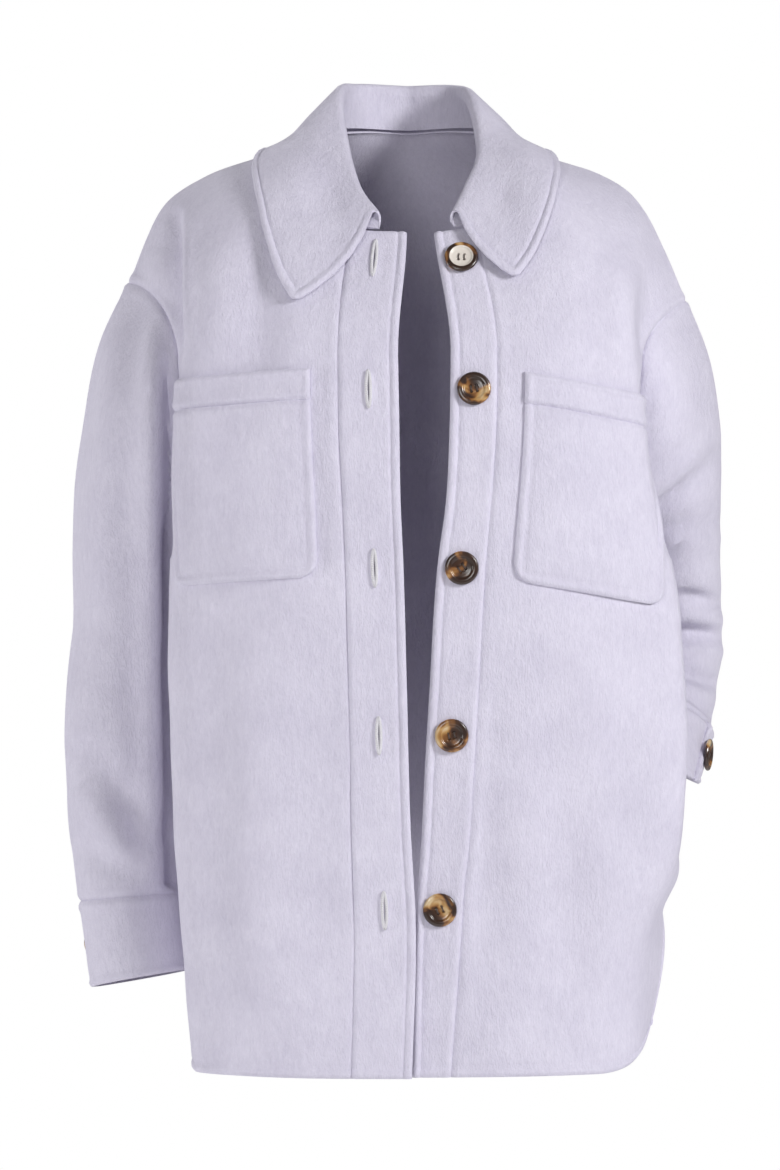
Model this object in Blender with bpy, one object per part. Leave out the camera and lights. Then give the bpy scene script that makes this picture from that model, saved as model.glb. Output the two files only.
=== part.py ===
"""Shirt jacket (shacket) of double-faced wool, worn open, hollow.

Metres, +Z up.  The wearer's front faces -Y and the wearer's right is -X.
The origin lies between the shoulders, level with the base of the neck.
Tables are in millimetres: 'drop' is the distance below the origin and
'out' is the distance from the middle, towards the named side.
"""
from functools import partial

import bpy
import numpy as np

MM = 0.001
SIDES = {"right": -1.0, "left": 1.0}

# Cloth
WALL = 2.0 * MM
SEAM = 0.3 * MM
# Each sewn edge is drawn back by this share of the seam gap: a little over half of it,
# and more where a sleeve folds at the underarm
SEAM_SHARE = 0.68
ARMHOLE_SHARE = 1.6
PLACKET_RISE = 0.8 * MM
LILAC = (0.60, 0.56, 0.72, 1.0)
HORN = (0.20, 0.11, 0.05, 1.0)

# Heights, as drops below the origin
CHEST = 185 * MM
UNDERARM = 345 * MM
TAIL_START = 635 * MM
HEM = 758 * MM

# Armhole, shirt tail and the gape of the left side pocket's mouth
ARM_MID = 200 * MM
ARM_FRONT = 72 * MM
ARM_BACK = 75 * MM
TAIL_WIDTH = 105 * MM
MOUTH_TOP = 478 * MM
MOUTH_OUT = 42 * MM
MOUTH_FORWARD = 63 * MM

# Chest pockets
POCKET_WIDTH = 127 * MM
POCKET_HEIGHT = 166 * MM
POCKET_RADIUS = 15 * MM
# Gap behind a pocket, at its edge near the placket and at its outer edge, over the fold
POCKET_CLEAR = {"right": (0.5 * MM, 0.8 * MM), "left": (0.5 * MM, 2.1 * MM)}
BAND_HEIGHT = 25 * MM
POCKET_FROM_SEAM = 22 * MM
POCKET_TOP = {"right": (193 * MM, 201 * MM), "left": (196 * MM, 217 * MM)}

# Buttons and buttonholes
BUTTON_RADIUS = 13.4 * MM
BUTTON_THICK = 3.8 * MM
BUTTON_TURNS = 20
# Turned section, from the middle of the face to the back: share of the radius and of the thickness
BUTTON_PROFILE = ((0.52, 0.62), (0.72, 1.0), (0.90, 0.95), (1.0, 0.6), (0.93, 0.12), (0.6, 0.0))
BUTTON_DROPS = (104 * MM, 210 * MM, 352 * MM, 485 * MM, 624 * MM)
HOLE_LENGTH = 27 * MM
HOLE_HALF = 2.1 * MM

# Cuffs
CUFF_LAP = 24.0
CUFF_RISE = 3.0 * MM
CUFF_BUTTON_ANGLE = {"right": 318.0, "left": 14.0}

# Points closer than this are one point of a seam; the shift keeps round sizes off its limits
KEY = 0.05 * MM
KEY_SHIFT = 0.27

# Grid counts
SHOULDER_CELLS = 8
NECK_CELLS = 4
BACK_NECK_CELLS = 4
UPPER_ROWS = 5
ARM_ROWS = 7
LOWER_ROWS = 11
TAIL_ROWS = 5
CAP_RINGS = 7
SLEEVE_RINGS = 9
POCKET_CELLS = NECK_CELLS + SHOULDER_CELLS - 3
SIDE_CELLS = 4
FOLD_FROM = 372 * MM
FOLD_TO = 404 * MM

# Placket edge ahead of its seam, and how full the chest is at a third and two thirds of its width
EDGE_AHEAD = 1 * MM
CHEST_SWELL = (0.91, 0.6)
# Back's control point between the fold and the middle: share of the width and of the depth
BACK_HALFWAY = (0.52, 0.85)

# Front sections: drop, then placket edge and seam (out), front depth,
# side fold (out, forward) and side edge (out, back)
FRONT = {
    "right": ((185, 8, 56, 131, 180, 92, 186, 10),
              (240, 7, 55, 138, 184, 90, 181, 14),
              (300, 6, 52, 141, 187, 88, 170, 18),
              (345, 4, 50, 141, 188, 86, 160, 22),
              (450, 1, 47, 139, 189, 84, 157, 26),
              (560, -2, 45, 136, 185, 84, 155, 26),
              (635, -6, 43, 135, 180, 86, 153, 24),
              (760, -3, 45, 135, 167, 90, 150, 20)),
    "left": ((185, 34, 71, 131, 185, 92, 190, 12),
             (240, 33, 70, 138, 187, 92, 184, 16),
             (300, 30, 66, 140, 197, 90, 172, 20),
             (345, 24, 62, 139, 209, 88, 158, 22),
             (450, 17, 56, 135, 221, 88, 146, 24),
             (520, 13, 52, 131, 223, 88, 147, 25),
             (580, 10, 48, 129, 216, 86, 185, 18),
             (605, 8, 45, 128, 206, 86, 204, 8),
             (635, 6, 43, 127, 190, 86, 210, -8),
             (760, 3, 34, 125, 176, 88, 206, -18)),
}

# Back sections: drop, then back fold (out, back) and back depth
BACK = {
    "right": ((185, 150, 118, 134),
              (345, 166, 96, 136),
              (450, 170, 98, 130),
              (635, 170, 96, 128),
              (760, 168, 92, 130)),
    "left": ((185, 150, 118, 134),
             (345, 150, 100, 136),
             (450, 146, 100, 130),
             (540, 150, 100, 128),
             (635, 176, 90, 128),
             (760, 158, 94, 130)),
}

# Top edge of a front at each of its lines: out, back, drop,
# then the way that the cloth leaves it: out, back, down
FRONT_TOP = {
    "right": ((1, -92, 82, 0.0, -0.5, 1.0),
              (46, -88, 77, 0.1, -0.5, 1.0),
              (59, -52, 38, 0.3, -0.9, 0.7),
              (70, 5, -8, 0.35, -1.0, 0.15),
              (166, 10, 27, 0.05, -1.1, 0.25),
              (232, 12, 115, -0.8, -1.0, 0.15)),
    "left": ((21, -92, 82, 0.1, -0.5, 1.0),
             (54, -88, 75, 0.15, -0.5, 1.0),
             (62, -52, 38, 0.35, -0.9, 0.7),
             (71, 5, -8, 0.35, -1.0, 0.15),
             (160, 10, 27, 0.05, -1.1, 0.25),
             (231, 12, 130, -0.3, -1.0, 0.3)),
}
BACK_WAYS = ((-0.3, 1.0, 0.3), (0.05, 1.1, 0.25), (0.2, 1.0, 0.3))
BACK_NECK = (0, 60, -14, 0.0, 0.7, 0.8)

# Shoulder seam: out and drop
SHOULDER = {
    "right": ((70, -8), (120, 12), (166, 27), (196, 47), (216, 79), (232, 115)),
    "left": ((71, -8), (114, 12), (157, 25), (184, 40), (212, 84), (231, 130)),
}

# Shoulder seam's distance back, at the neck and at the armhole
SHOULDER_BACK = (5 * MM, 12 * MM)

# Collar: share of the neck seam, roll (out, back, drop), leaf edge (out, back, drop), bow
COLLAR = {
    "right": ((0.00, 26, -92, 64, 91, -118, 142, -11),
              (0.20, 40, -72, 43, 106, -105, 113, -3),
              (0.42, 51, -38, 4, 119, -78, 64, 3),
              (0.64, 56, 4, -45, 117, -8, 24, 3),
              (0.82, 41, 44, -53, 90, 66, 2, 3),
              (1.00, 0, 60, -53, 0, 98, 2, 3)),
    "left": ((0.00, 38, -92, 64, 87, -118, 120, -8),
             (0.20, 48, -72, 42, 104, -104, 94, -3),
             (0.42, 60, -42, 8, 119, -72, 50, 3),
             (0.64, 53, 4, -41, 114, -8, 23, 3),
             (0.82, 39, 44, -52, 88, 66, 2, 3),
             (1.00, 0, 60, -53, 0, 98, 2, 3)),
}
COLLAR_START = 0.55
# Share of half the neck seam that lies on the front
COLLAR_SPLIT = 0.6
ROLL_RADIUS = 4.6 * MM
ROLL_TURNS = (50, 90, 135)
LEAF_ROWS = 5
# Leaf's corner drawn in, as a share of its last cell up the point and along the edge
CORNER_TRIM = (0.16, 0.3)
LEG_HEIGHT = 5 * MM
NECK_CLEAR = 1.6 * MM
LEAF_CLEAR = 5.5 * MM

# Sleeve stations: centre (out, back, drop), half width across, half width along,
# pitch (0 hangs down, 90 points forward), roll, all in degrees
SLEEVE = {
    "right": ((230, 36, 400, 49, 59, 0, 0),
              (235, 36, 480, 50, 57, 0, 0),
              (235, 32, 555, 47, 53, 2, 2),
              (230, 26, 625, 42, 46, 4, 5),
              (222, 20, 692, 41, 42, 6, 10)),
    "left": ((218, 98, 345, 47, 54, -24, 0),
             (222, 124, 388, 47, 54, -8, 0),
             (223, 130, 420, 47, 52, 8, 3),
             (220, 112, 448, 46, 50, 20, 10),
             (213, 80, 474, 45, 47, 20, 20),
             (202, 34, 508, 44, 45, 4, 30)),
}


def spline(knots, values, x):
    """Cubic curve through the values at the knots, read at x."""
    knots = np.asarray(knots, float)
    values = np.asarray(values, float)
    x = np.asarray(x, float)
    h = np.diff(knots)
    d = np.diff(values, axis=0) / h[:, None]
    m = np.empty_like(values)
    m[0] = d[0]
    m[-1] = d[-1]
    m[1:-1] = (d[:-1] * h[1:, None] + d[1:] * h[:-1, None]) / (h[1:] + h[:-1])[:, None]
    i = np.clip(np.searchsorted(knots, x, side="right") - 1, 0, len(knots) - 2)
    w = ((x - knots[i]) / h[i])[..., None]
    step = h[i][..., None]
    return hermite(values[i], values[i + 1], m[i] * step, m[i + 1] * step, w)


def hermite(p0, p1, t0, t1, w):
    """Cubic from p0 to p1 that leaves along t0 and arrives along t1."""
    a = 2 * w ** 3 - 3 * w ** 2 + 1
    b = w ** 3 - 2 * w ** 2 + w
    return a * p0 + b * t0 + (1 - a) * p1 + (w ** 3 - w ** 2) * t1


def knots_of(points):
    """Share of the length at each control point of a row of points."""
    gaps = np.linalg.norm(np.diff(points, axis=0), axis=-1)
    total = np.cumsum(gaps, axis=0)
    start = np.zeros_like(total[:1])
    return np.concatenate([start, total]) / total[-1]


def across(points, t):
    """Smooth curve through control points; t is the share of its length."""
    knots = knots_of(points)
    h = np.diff(knots, axis=0)[..., None]
    d = np.diff(points, axis=0) / h
    inner = (d[:-1] * h[1:] + d[1:] * h[:-1]) / (h[1:] + h[:-1])
    m = np.concatenate([d[:1], inner, d[-1:]])
    i = (t[None] >= knots[1:-1]).sum(axis=0)[None]

    def pick(values, index):
        return np.take_along_axis(values, index[..., None], axis=0)[0]

    k0 = np.take_along_axis(knots, i, axis=0)[0]
    step = pick(h, i)
    w = (t - k0)[..., None] / step
    start_way = pick(m, i) * step
    end_way = pick(m, i + 1) * step
    return hermite(pick(points, i), pick(points, i + 1), start_way, end_way, w)


def armhole(drop):
    """Opening of the armhole at a height: 1 at its middle, round at the underarm."""
    x = (drop - ARM_MID) / (UNDERARM - ARM_MID)
    return np.sqrt(np.clip(1 - x ** 2, 0, 1))


def mouth(side, drop):
    """Shares by which the side pocket's mouth gapes out and forward, on the left only."""
    x = np.clip((drop - MOUTH_TOP) / (TAIL_START - MOUTH_TOP), 0, 1)
    gape = np.sin(np.pi * x) * (side == "left")
    return gape ** 1.6, gape ** 0.8


def stack(side, xs, ys, drop):
    """Control points from distances out, back and down."""
    sign = SIDES[side]
    return np.stack([np.stack([sign * x, y + 0 * drop, -drop], axis=-1) for x, y in zip(xs, ys)])


def front_section(side, drop):
    """Control points of a front: edge, seam, two on the chest, fold and side edge."""
    rows = np.array(FRONT[side]) * MM
    edge, seam, depth, fold, ahead, out, back = np.moveaxis(spline(rows[:, 0], rows[:, 1:], drop), -1, 0)
    out_gape, ahead_gape = mouth(side, drop)
    third = (fold - seam) / 3
    swell = depth - ahead
    xs = [edge, seam, seam + third, seam + 2 * third, fold, out + MOUTH_OUT * out_gape]
    ys = [-depth - EDGE_AHEAD, -depth, -ahead - CHEST_SWELL[0] * swell, -ahead - CHEST_SWELL[1] * swell,
          -ahead, back - ARM_FRONT * armhole(drop) - MOUTH_FORWARD * ahead_gape]
    return stack(side, xs, ys, drop)


def back_half(side, drop):
    """Control points of half the back: side edge, back fold and mid back."""
    rows = np.array(FRONT[side]) * MM
    edge = spline(rows[:, 0], rows[:, 6:8], drop)
    folds = np.array(BACK[side]) * MM
    fold = spline(folds[:, 0], folds[:, 1:], drop)
    xs = [edge[..., 0], fold[..., 0], BACK_HALFWAY[0] * fold[..., 0]]
    rise = fold[..., 2] - fold[..., 1]
    ys = [edge[..., 1] + ARM_BACK * armhole(drop), fold[..., 1], fold[..., 1] + BACK_HALFWAY[1] * rise]
    return stack(side, xs, ys, drop), fold[..., 2]


def back_section(drop):
    """Control points of the back from the right side edge to the left one."""
    right, depth_right = back_half("right", drop)
    left, depth_left = back_half("left", drop)
    depth = (depth_right + depth_left) / 2
    centre = np.stack([0 * drop, depth, -drop], axis=-1)[None]
    return np.concatenate([right, centre, left[::-1]])


def lines(section, tops, ways, level):
    """Control points at a level: 0 to 1 runs from the top edge to the chest."""
    drop = CHEST + np.clip(level - 1, 0, None)
    low = section(drop)
    slope = (section(drop + 1 * MM) - low) / MM
    shape = (len(tops),) + (1,) * level.ndim + (3,)
    top = np.reshape(tops, shape)
    way = np.reshape(ways, shape)
    length = np.linalg.norm(low - top, axis=-1, keepdims=True)
    way = way / np.linalg.norm(way, axis=-1, keepdims=True)
    w = np.clip(level, 0, 1)[None, ..., None]
    upper = hermite(top, low, way * length, slope * length, w)
    return np.where(level[None, ..., None] < 1, upper, low)


def front_lines(side, level):
    rows = np.array(FRONT_TOP[side]) * (SIDES[side], 1, -1, SIDES[side], 1, -1)
    return lines(lambda drop: front_section(side, drop), rows[:, :3] * MM, rows[:, 3:], level)


def back_lines(level):
    tops = []
    ways = []
    for side, sign in SIDES.items():
        rows = np.array(FRONT_TOP[side])[[5, 4, 3], :3] * (sign, 1, -1)
        turned = np.array(BACK_WAYS) * (sign, 1, -1)
        order = 1 if side == "right" else -1
        tops.append(rows[::order])
        ways.append(turned[::order])
    middle = np.array(BACK_NECK) * (1, 1, -1, 1, 1, -1)
    tops.insert(1, middle[None, :3])
    ways.insert(1, middle[None, 3:])
    return lines(back_section, np.concatenate(tops) * MM, np.concatenate(ways), level)


def shoulder(side, share):
    """Point on the shoulder seam, from the neck (0) to the armhole (1)."""
    rows = np.array(SHOULDER[side]) * MM
    reach = np.concatenate([[0], np.cumsum(np.hypot(*np.diff(rows, axis=0).T))])
    point = spline(reach / reach[-1], rows, share)
    back = SHOULDER_BACK[0] + (SHOULDER_BACK[1] - SHOULDER_BACK[0]) * share
    return np.stack([SIDES[side] * point[..., 0], back, -point[..., 1]], axis=-1)


def neck_share(side):
    """Share of a front panel's top edge, and of half the back's, that is neckline."""
    top = knots_of(front_lines(side, np.zeros(1)))[:, 0]
    back = knots_of(back_lines(np.zeros(1)))[:, 0]
    front = (top[3] - top[1]) / (1 - top[1])
    half = {"right": (back[3] - back[2]) / back[3],
            "left": (back[4] - back[3]) / (1 - back[3])}
    return front, half[side]


def front_point(side, u, level):
    """A front's surface: u is -1 at the placket's edge, 0 at its seam, 1 at the side."""
    u, level = np.broadcast_arrays(np.asarray(u, float), np.asarray(level, float))
    control = front_lines(side, level)
    seam = knots_of(control)[1]
    point = across(control, np.where(u < 0, seam * (1 + u), seam + (1 - seam) * u))
    top = front_lines(side, np.zeros_like(level))
    top_seam = knots_of(top)[1]
    on_top = across(top, np.where(u < 0, top_seam * (1 + u), top_seam + (1 - top_seam) * u))
    neck = neck_share(side)[0]
    share = np.clip((u - neck) / (1 - neck), 0, 1)
    shift = (shoulder(side, share) - on_top) * (u > neck)[..., None]
    return point + shift * (np.clip(1 - level, 0, 1) ** 2)[..., None]


def back_point(u, level):
    """The back's surface: u is -1 at the right side edge and 1 at the left one."""
    u, level = np.broadcast_arrays(np.asarray(u, float), np.asarray(level, float))

    def read(control):
        centre = knots_of(control)[3]
        return across(control, np.where(u < 0, centre * (1 + u), centre + (1 - centre) * u))

    point = read(back_lines(level))
    on_top = read(back_lines(np.zeros_like(level)))
    fade = (np.clip(1 - level, 0, 1) ** 2)[..., None]
    for side, sign in SIDES.items():
        neck = neck_share(side)[1]
        share = np.clip((sign * u - neck) / (1 - neck), 0, 1)
        point = point + (shoulder(side, share) - on_top) * (sign * u > neck)[..., None] * fade
    return point


def panel_width(side, level):
    """Length of a front panel from the placket seam to its side edge."""
    control = front_lines(side, level)
    gaps = np.linalg.norm(np.diff(control, axis=0), axis=-1)
    return gaps[1:].sum(axis=0)


def surface_normals(point, u, level, step=0.002):
    """Outward normals of a surface function at its own parameters."""
    along = point(u + step, level) - point(u - step, level)
    down = point(u, level + step) - point(u, level - step)
    normal = np.cross(down, along)
    return normal / np.linalg.norm(normal, axis=-1, keepdims=True)


def grid_normals(grid, ring=False):
    """Normals of a grid of points, from its neighbours."""
    down = np.gradient(grid, axis=0)
    if ring:
        turn = np.roll(grid, -1, axis=1) - np.roll(grid, 1, axis=1)
    else:
        turn = np.gradient(grid, axis=1)
    normal = np.cross(down, turn)
    return normal / np.linalg.norm(normal, axis=-1, keepdims=True)


def round_corner(p, q):
    """Bends the square's far corner into an arc; p and q run from 0 to 1."""
    return p * np.sqrt(1 - q ** 2 / 2), q * np.sqrt(1 - p ** 2 / 2)


def body_levels(u):
    """Levels of the rows at each u (0 at the middle, 1 at the side edge)."""
    upper = np.linspace(0, 1, UPPER_ROWS + 1)[:, None] + 0 * u
    start = np.arcsin((CHEST - ARM_MID) / (UNDERARM - ARM_MID))
    turn = np.linspace(start, np.pi / 2, ARM_ROWS + 1)[1:, None]
    steep = ARM_MID + (UNDERARM - ARM_MID) * np.sin(turn)
    even = np.linspace(CHEST, UNDERARM, ARM_ROWS + 1)[1:, None]
    arm = steep * u ** 2 + even * (1 - u ** 2)
    lower = np.linspace(UNDERARM, TAIL_START, LOWER_ROWS + 1)[1:, None] + 0 * u
    tail = np.linspace(TAIL_START, HEM, TAIL_ROWS + 1)[1:, None] + 0 * u
    drops = np.concatenate([arm, lower, tail])
    return np.concatenate([upper, 1 + drops - CHEST])


def shirt_tail(u, level, width):
    """Rounds the hem's corner at the side edge of a panel of this width."""
    reach = TAIL_WIDTH / width
    height = HEM - TAIL_START
    drop = CHEST + level - 1
    p = np.clip(1 - (1 - u) / reach, 0, 1)
    q = np.clip(1 - (HEM - drop) / height, 0, 1)
    p_bent, q_bent = round_corner(p, q)
    inside = (p > 0) & (q > 0)
    u_new = np.where(inside, 1 - reach * (1 - p_bent), u)
    drop_new = np.where(inside, HEM - height * (1 - q_bent), drop)
    return u_new, 1 + drop_new - CHEST


def front_columns(side, level):
    """u of a front panel's columns: on the pocket's lines, and close at the fold below."""
    neck = neck_share(side)[0]
    cells = NECK_CELLS + SHOULDER_CELLS
    beyond = np.linspace(neck, 1, SHOULDER_CELLS + 1)[1:]
    top = np.concatenate([np.linspace(0, neck, NECK_CELLS + 1), beyond])
    width = panel_width(side, level)
    knots = knots_of(front_lines(side, level))
    fold = ((knots[4] - knots[1]) / (1 - knots[1]))[..., None]
    ahead = 1 - (1 - np.linspace(0, 1, cells - SIDE_CELLS + 1)) ** 1.4
    beside = np.linspace(0, 1, SIDE_CELLS + 1)[1:] ** 1.4
    folded = np.concatenate([fold * ahead, fold + (1 - fold) * beside], axis=-1)
    reach = POCKET_FROM_SEAM + POCKET_WIDTH * np.linspace(0, 1, POCKET_CELLS + 1)
    lines = [0 * width] + [d / width for d in reach]
    lines = lines + [0.7 * lines[-1] + 0.3, 1 + 0 * width]
    pocket = np.stack(lines, axis=-1)
    high = np.clip(1 - level, 0, 1)[..., None]
    low = np.clip((level - 1 + CHEST - FOLD_FROM) / (FOLD_TO - FOLD_FROM), 0, 1)[..., None]
    low = low * low * (3 - 2 * low)
    return (pocket * (1 - high) + top * high) * (1 - low) + folded * low


def front_grid(side):
    level = body_levels(np.linspace(0, 1, NECK_CELLS + SHOULDER_CELLS + 1))
    columns = front_columns(side, level)
    u = np.stack([columns[:, j, j] for j in range(columns.shape[1])], axis=1)
    width = panel_width(side, np.array([1 + HEM - CHEST]))[0]
    u, level = shirt_tail(u, level, width)
    return front_point(side, u, level)


def back_grid():
    halves = []
    for side, sign in SIDES.items():
        neck = neck_share(side)[1]
        u = np.concatenate([np.linspace(0, neck, BACK_NECK_CELLS + 1),
                            np.linspace(neck, 1, SHOULDER_CELLS + 1)[1:]])
        level = body_levels(u)
        control = back_lines(np.array([1 + HEM - CHEST]))[:, 0]
        width = np.linalg.norm(np.diff(control, axis=0), axis=-1).sum() / 2
        u, level = shirt_tail(u + 0 * level, level, width)
        half = back_point(sign * u, level)
        halves.append(half[:, ::-1] if side == "right" else half[:, 1:])
    return np.concatenate(halves, axis=1)


def ring_points(side, station, angle):
    """Ring of a sleeve at a station row, at angles in degrees."""
    out, back, drop, wide, deep, pitch, roll = np.moveaxis(station, -1, 0)[..., None]
    a = np.radians(angle)
    sign = SIDES[side]
    p = np.radians(pitch)
    r = np.radians(roll)
    across_x = wide * np.cos(a) * np.cos(r)
    across_z = -wide * np.cos(a) * np.sin(r)
    x = sign * (out + across_x)
    y = back - deep * np.sin(a) * np.cos(p)
    z = -drop + deep * np.sin(a) * np.sin(p) + across_z
    return np.stack([x, y, z], axis=-1)


def sleeve_stations(side, share):
    """Station values at shares of the sleeve's length, in metres and degrees."""
    rows = np.array(SLEEVE[side], float) * ((MM,) * 5 + (1, 1))
    reach = np.concatenate([[0], np.cumsum(np.linalg.norm(np.diff(rows[:, :3], axis=0), axis=1))])
    return spline(reach / reach[-1], rows, np.asarray(share)), reach


def armhole_loop(side, front, back):
    """Armhole edge: top, down the front edge, underarm, up the back edge."""
    rows = UPPER_ROWS + ARM_ROWS
    back_column = 0 if side == "right" else -1
    ahead = front[:rows + 1, -1]
    behind = back[1:rows, back_column]
    return np.concatenate([ahead, behind[::-1]])


def sleeve_grid(side, loop):
    """Sleeve from the armhole's edge to the cuff: a cap that turns down, then a tube."""
    angles = np.linspace(0, 360, len(loop), endpoint=False)
    rows, reach = sleeve_stations(side, [0.0])
    first = ring_points(side, rows, angles)[0]
    pitch = np.radians(rows[0, 5])
    down = np.array([0, -np.sin(pitch), -np.cos(pitch)])
    a = np.radians(angles)[:, None]
    sign = SIDES[side]
    outward = sign * (0.75 - 0.3 * np.cos(a))
    backward = -0.3 * np.sin(a) - 0.9 * np.sin(pitch)
    upward = -0.48 - 0.32 * np.cos(a)
    leave = np.concatenate([outward, backward, upward], axis=1)
    leave = leave / np.linalg.norm(leave, axis=1, keepdims=True)
    length = np.linalg.norm(first - loop, axis=1, keepdims=True)
    w = np.linspace(0, 1, CAP_RINGS + 1)[:-1, None, None]
    cap = hermite(loop, first, leave * length, down * length, w)
    cuff_start = reach[-2] / reach[-1]
    shares = np.linspace(0, cuff_start, SLEEVE_RINGS + 1)
    tube = ring_points(side, sleeve_stations(side, shares)[0], angles)
    return np.concatenate([cap, tube])


def cuff_grid(side):
    """Cuff band that laps over itself where it buttons."""
    reach = sleeve_stations(side, [0.0])[1]
    shares = np.linspace(reach[-2] / reach[-1], 1, 4)
    rows = sleeve_stations(side, shares)[0]
    start = CUFF_BUTTON_ANGLE[side] - 360 - CUFF_LAP / 2
    turn = np.linspace(0, 360 + CUFF_LAP, 27)
    lift = CUFF_RISE * np.clip((turn - 300) / 60, 0, 1) ** 2
    grid = ring_points(side, rows, start + turn)
    centre = ring_points(side, rows * (1, 1, 1, 0, 0, 1, 1), start + turn)
    radial = grid - centre
    return grid + radial / np.linalg.norm(radial, axis=-1, keepdims=True) * lift[:, None]


def placket_rows(side):
    """Levels of a placket's rows: three cells along each hole, three between."""
    probe = np.linspace(0, 1, 60)
    drops = -front_point(side, -0.5, probe)[:, 2]

    def level(drop):
        return np.interp(drop, drops, probe) if drop < CHEST else 1 + drop - CHEST

    marks = [(0.0, False)]
    for drop in BUTTON_DROPS:
        for share in (-0.5, -0.18, 0.18, 0.5):
            marks.append((level(drop + share * HOLE_LENGTH), share < 0.5))
    marks.append((1 + HEM - CHEST, False))
    levels = [0.0]
    holes = []
    for (start, hole), (end, _) in zip(marks[:-1], marks[1:]):
        cells = 1 if hole else 4
        levels.extend(np.linspace(start, end, cells + 1)[1:])
        holes.extend([hole] * cells)
    return np.array(levels), np.array(holes)


def placket_grid(side, levels, holes, front):
    """A placket's points; its seam lies on the front's own seam column."""
    middle = HOLE_HALF / (front_width_placket(side) / 2) * 0.5
    u = np.array([-1, -0.75, -0.5 - middle, -0.5 + middle, -0.25, 0])
    grid_u = u[None, :] + 0 * levels[:, None]
    level = levels[:, None] + 0 * u
    slim = np.ones(len(levels))
    slim[:-1][holes & ~np.roll(holes, 1)] = 0.35
    slim[1:][holes & ~np.roll(holes, -1)] = 0.35
    grid_u[:, 2] = -0.5 - middle * slim
    grid_u[:, 3] = -0.5 + middle * slim
    point = front_point(side, grid_u, level)
    rows = body_levels(np.array([0.0]))[:, 0]
    point[:, -1] = np.stack([np.interp(levels, rows, front[:, 0, axis]) for axis in range(3)], axis=-1)
    skip = np.zeros((len(levels) - 1, len(u) - 1), bool)
    if side == "right":
        skip[holes, 2] = True
    return point, skip


def front_width_placket(side):
    row = front_point(side, np.array([-1.0, 0.0]), np.array([1.2, 1.2]))
    return np.linalg.norm(row[1] - row[0])


def pocket_grid(side, start, end, rows, lift, rounded):
    """Patch on a front, between two heights down the pocket, moved out by its wall."""
    d = np.linspace(0, 1, POCKET_CELLS + 1)[None, :] + np.zeros((rows + 1, 1))
    h = np.linspace(start, end, rows + 1)[:, None] + 0 * d
    if rounded:
        past = np.abs(d - 0.5) * POCKET_WIDTH - POCKET_WIDTH / 2 + POCKET_RADIUS
        p = np.clip(past / POCKET_RADIUS, 0, 1)
        q = np.clip((h - end + POCKET_RADIUS) / POCKET_RADIUS, 0, 1)
        p_bent, q_bent = round_corner(p, q)
        inside = (p > 0) & (q > 0)
        d = np.where(inside, d - np.sign(d - 0.5) * (p - p_bent) * POCKET_RADIUS / POCKET_WIDTH, d)
        h = np.where(inside, h - (q - q_bent) * POCKET_RADIUS, h)
    inner, outer = POCKET_TOP[side]
    drop = inner + (outer - inner) * d + h
    level = 1 + drop - CHEST
    u = (POCKET_FROM_SEAM + POCKET_WIDTH * d) / panel_width(side, level)
    point = front_point(side, u, level)
    normal = SIDES[side] * surface_normals(partial(front_point, side), u, level)
    near, far = POCKET_CLEAR[side]
    clear = near + (far - near) * d ** 2
    return point + normal * (clear[..., None] + lift)


def body_cloud():
    """Points of the body's surface with outward normals, for the collar to rest on."""
    clouds = []
    for side, sign in SIDES.items():
        u, level = np.meshgrid(np.linspace(-1, 0.98, 70), np.linspace(0.003, 1.2, 70))
        surface = partial(front_point, side)
        clouds.append((surface(u, level), sign * surface_normals(surface, u, level)))
    u, level = np.meshgrid(np.linspace(-0.97, 0.97, 110), np.linspace(0.003, 1.1, 60))
    clouds.append((back_point(u, level), -surface_normals(back_point, u, level)))
    points = np.concatenate([c[0].reshape(-1, 3) for c in clouds])
    normals = np.concatenate([c[1].reshape(-1, 3) for c in clouds])
    return points, normals


def rest_on(grid, cloud, clear):
    """Moves points out until each lies at least 'clear' above the cloth."""
    points, normals = cloud
    flat = grid.reshape(-1, 3).copy()
    for _ in range(3):
        nearest = np.array([np.argmin(((points - p) ** 2).sum(axis=1)) for p in flat])
        height = ((flat - points[nearest]) * normals[nearest]).sum(axis=1)
        lift = np.clip(clear - height, 0, None)
        flat += normals[nearest] * lift[:, None]
    return flat.reshape(grid.shape)


def neck_point(side, share):
    """Point of the neck seam, from the collar's end on the placket to the centre back."""
    front_neck, back_neck = neck_share(side)
    on_front = share < COLLAR_SPLIT
    ahead = np.clip(share / COLLAR_SPLIT, 0, 1)
    behind = np.clip((share - COLLAR_SPLIT) / (1 - COLLAR_SPLIT), 0, 1)
    u_front = -COLLAR_START + (COLLAR_START + front_neck) * ahead
    u_back = SIDES[side] * back_neck * (1 - behind)
    ahead = front_point(side, u_front, np.zeros_like(share))
    behind = back_point(u_back, np.zeros_like(share))
    return np.where(on_front[:, None], ahead, behind)


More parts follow.
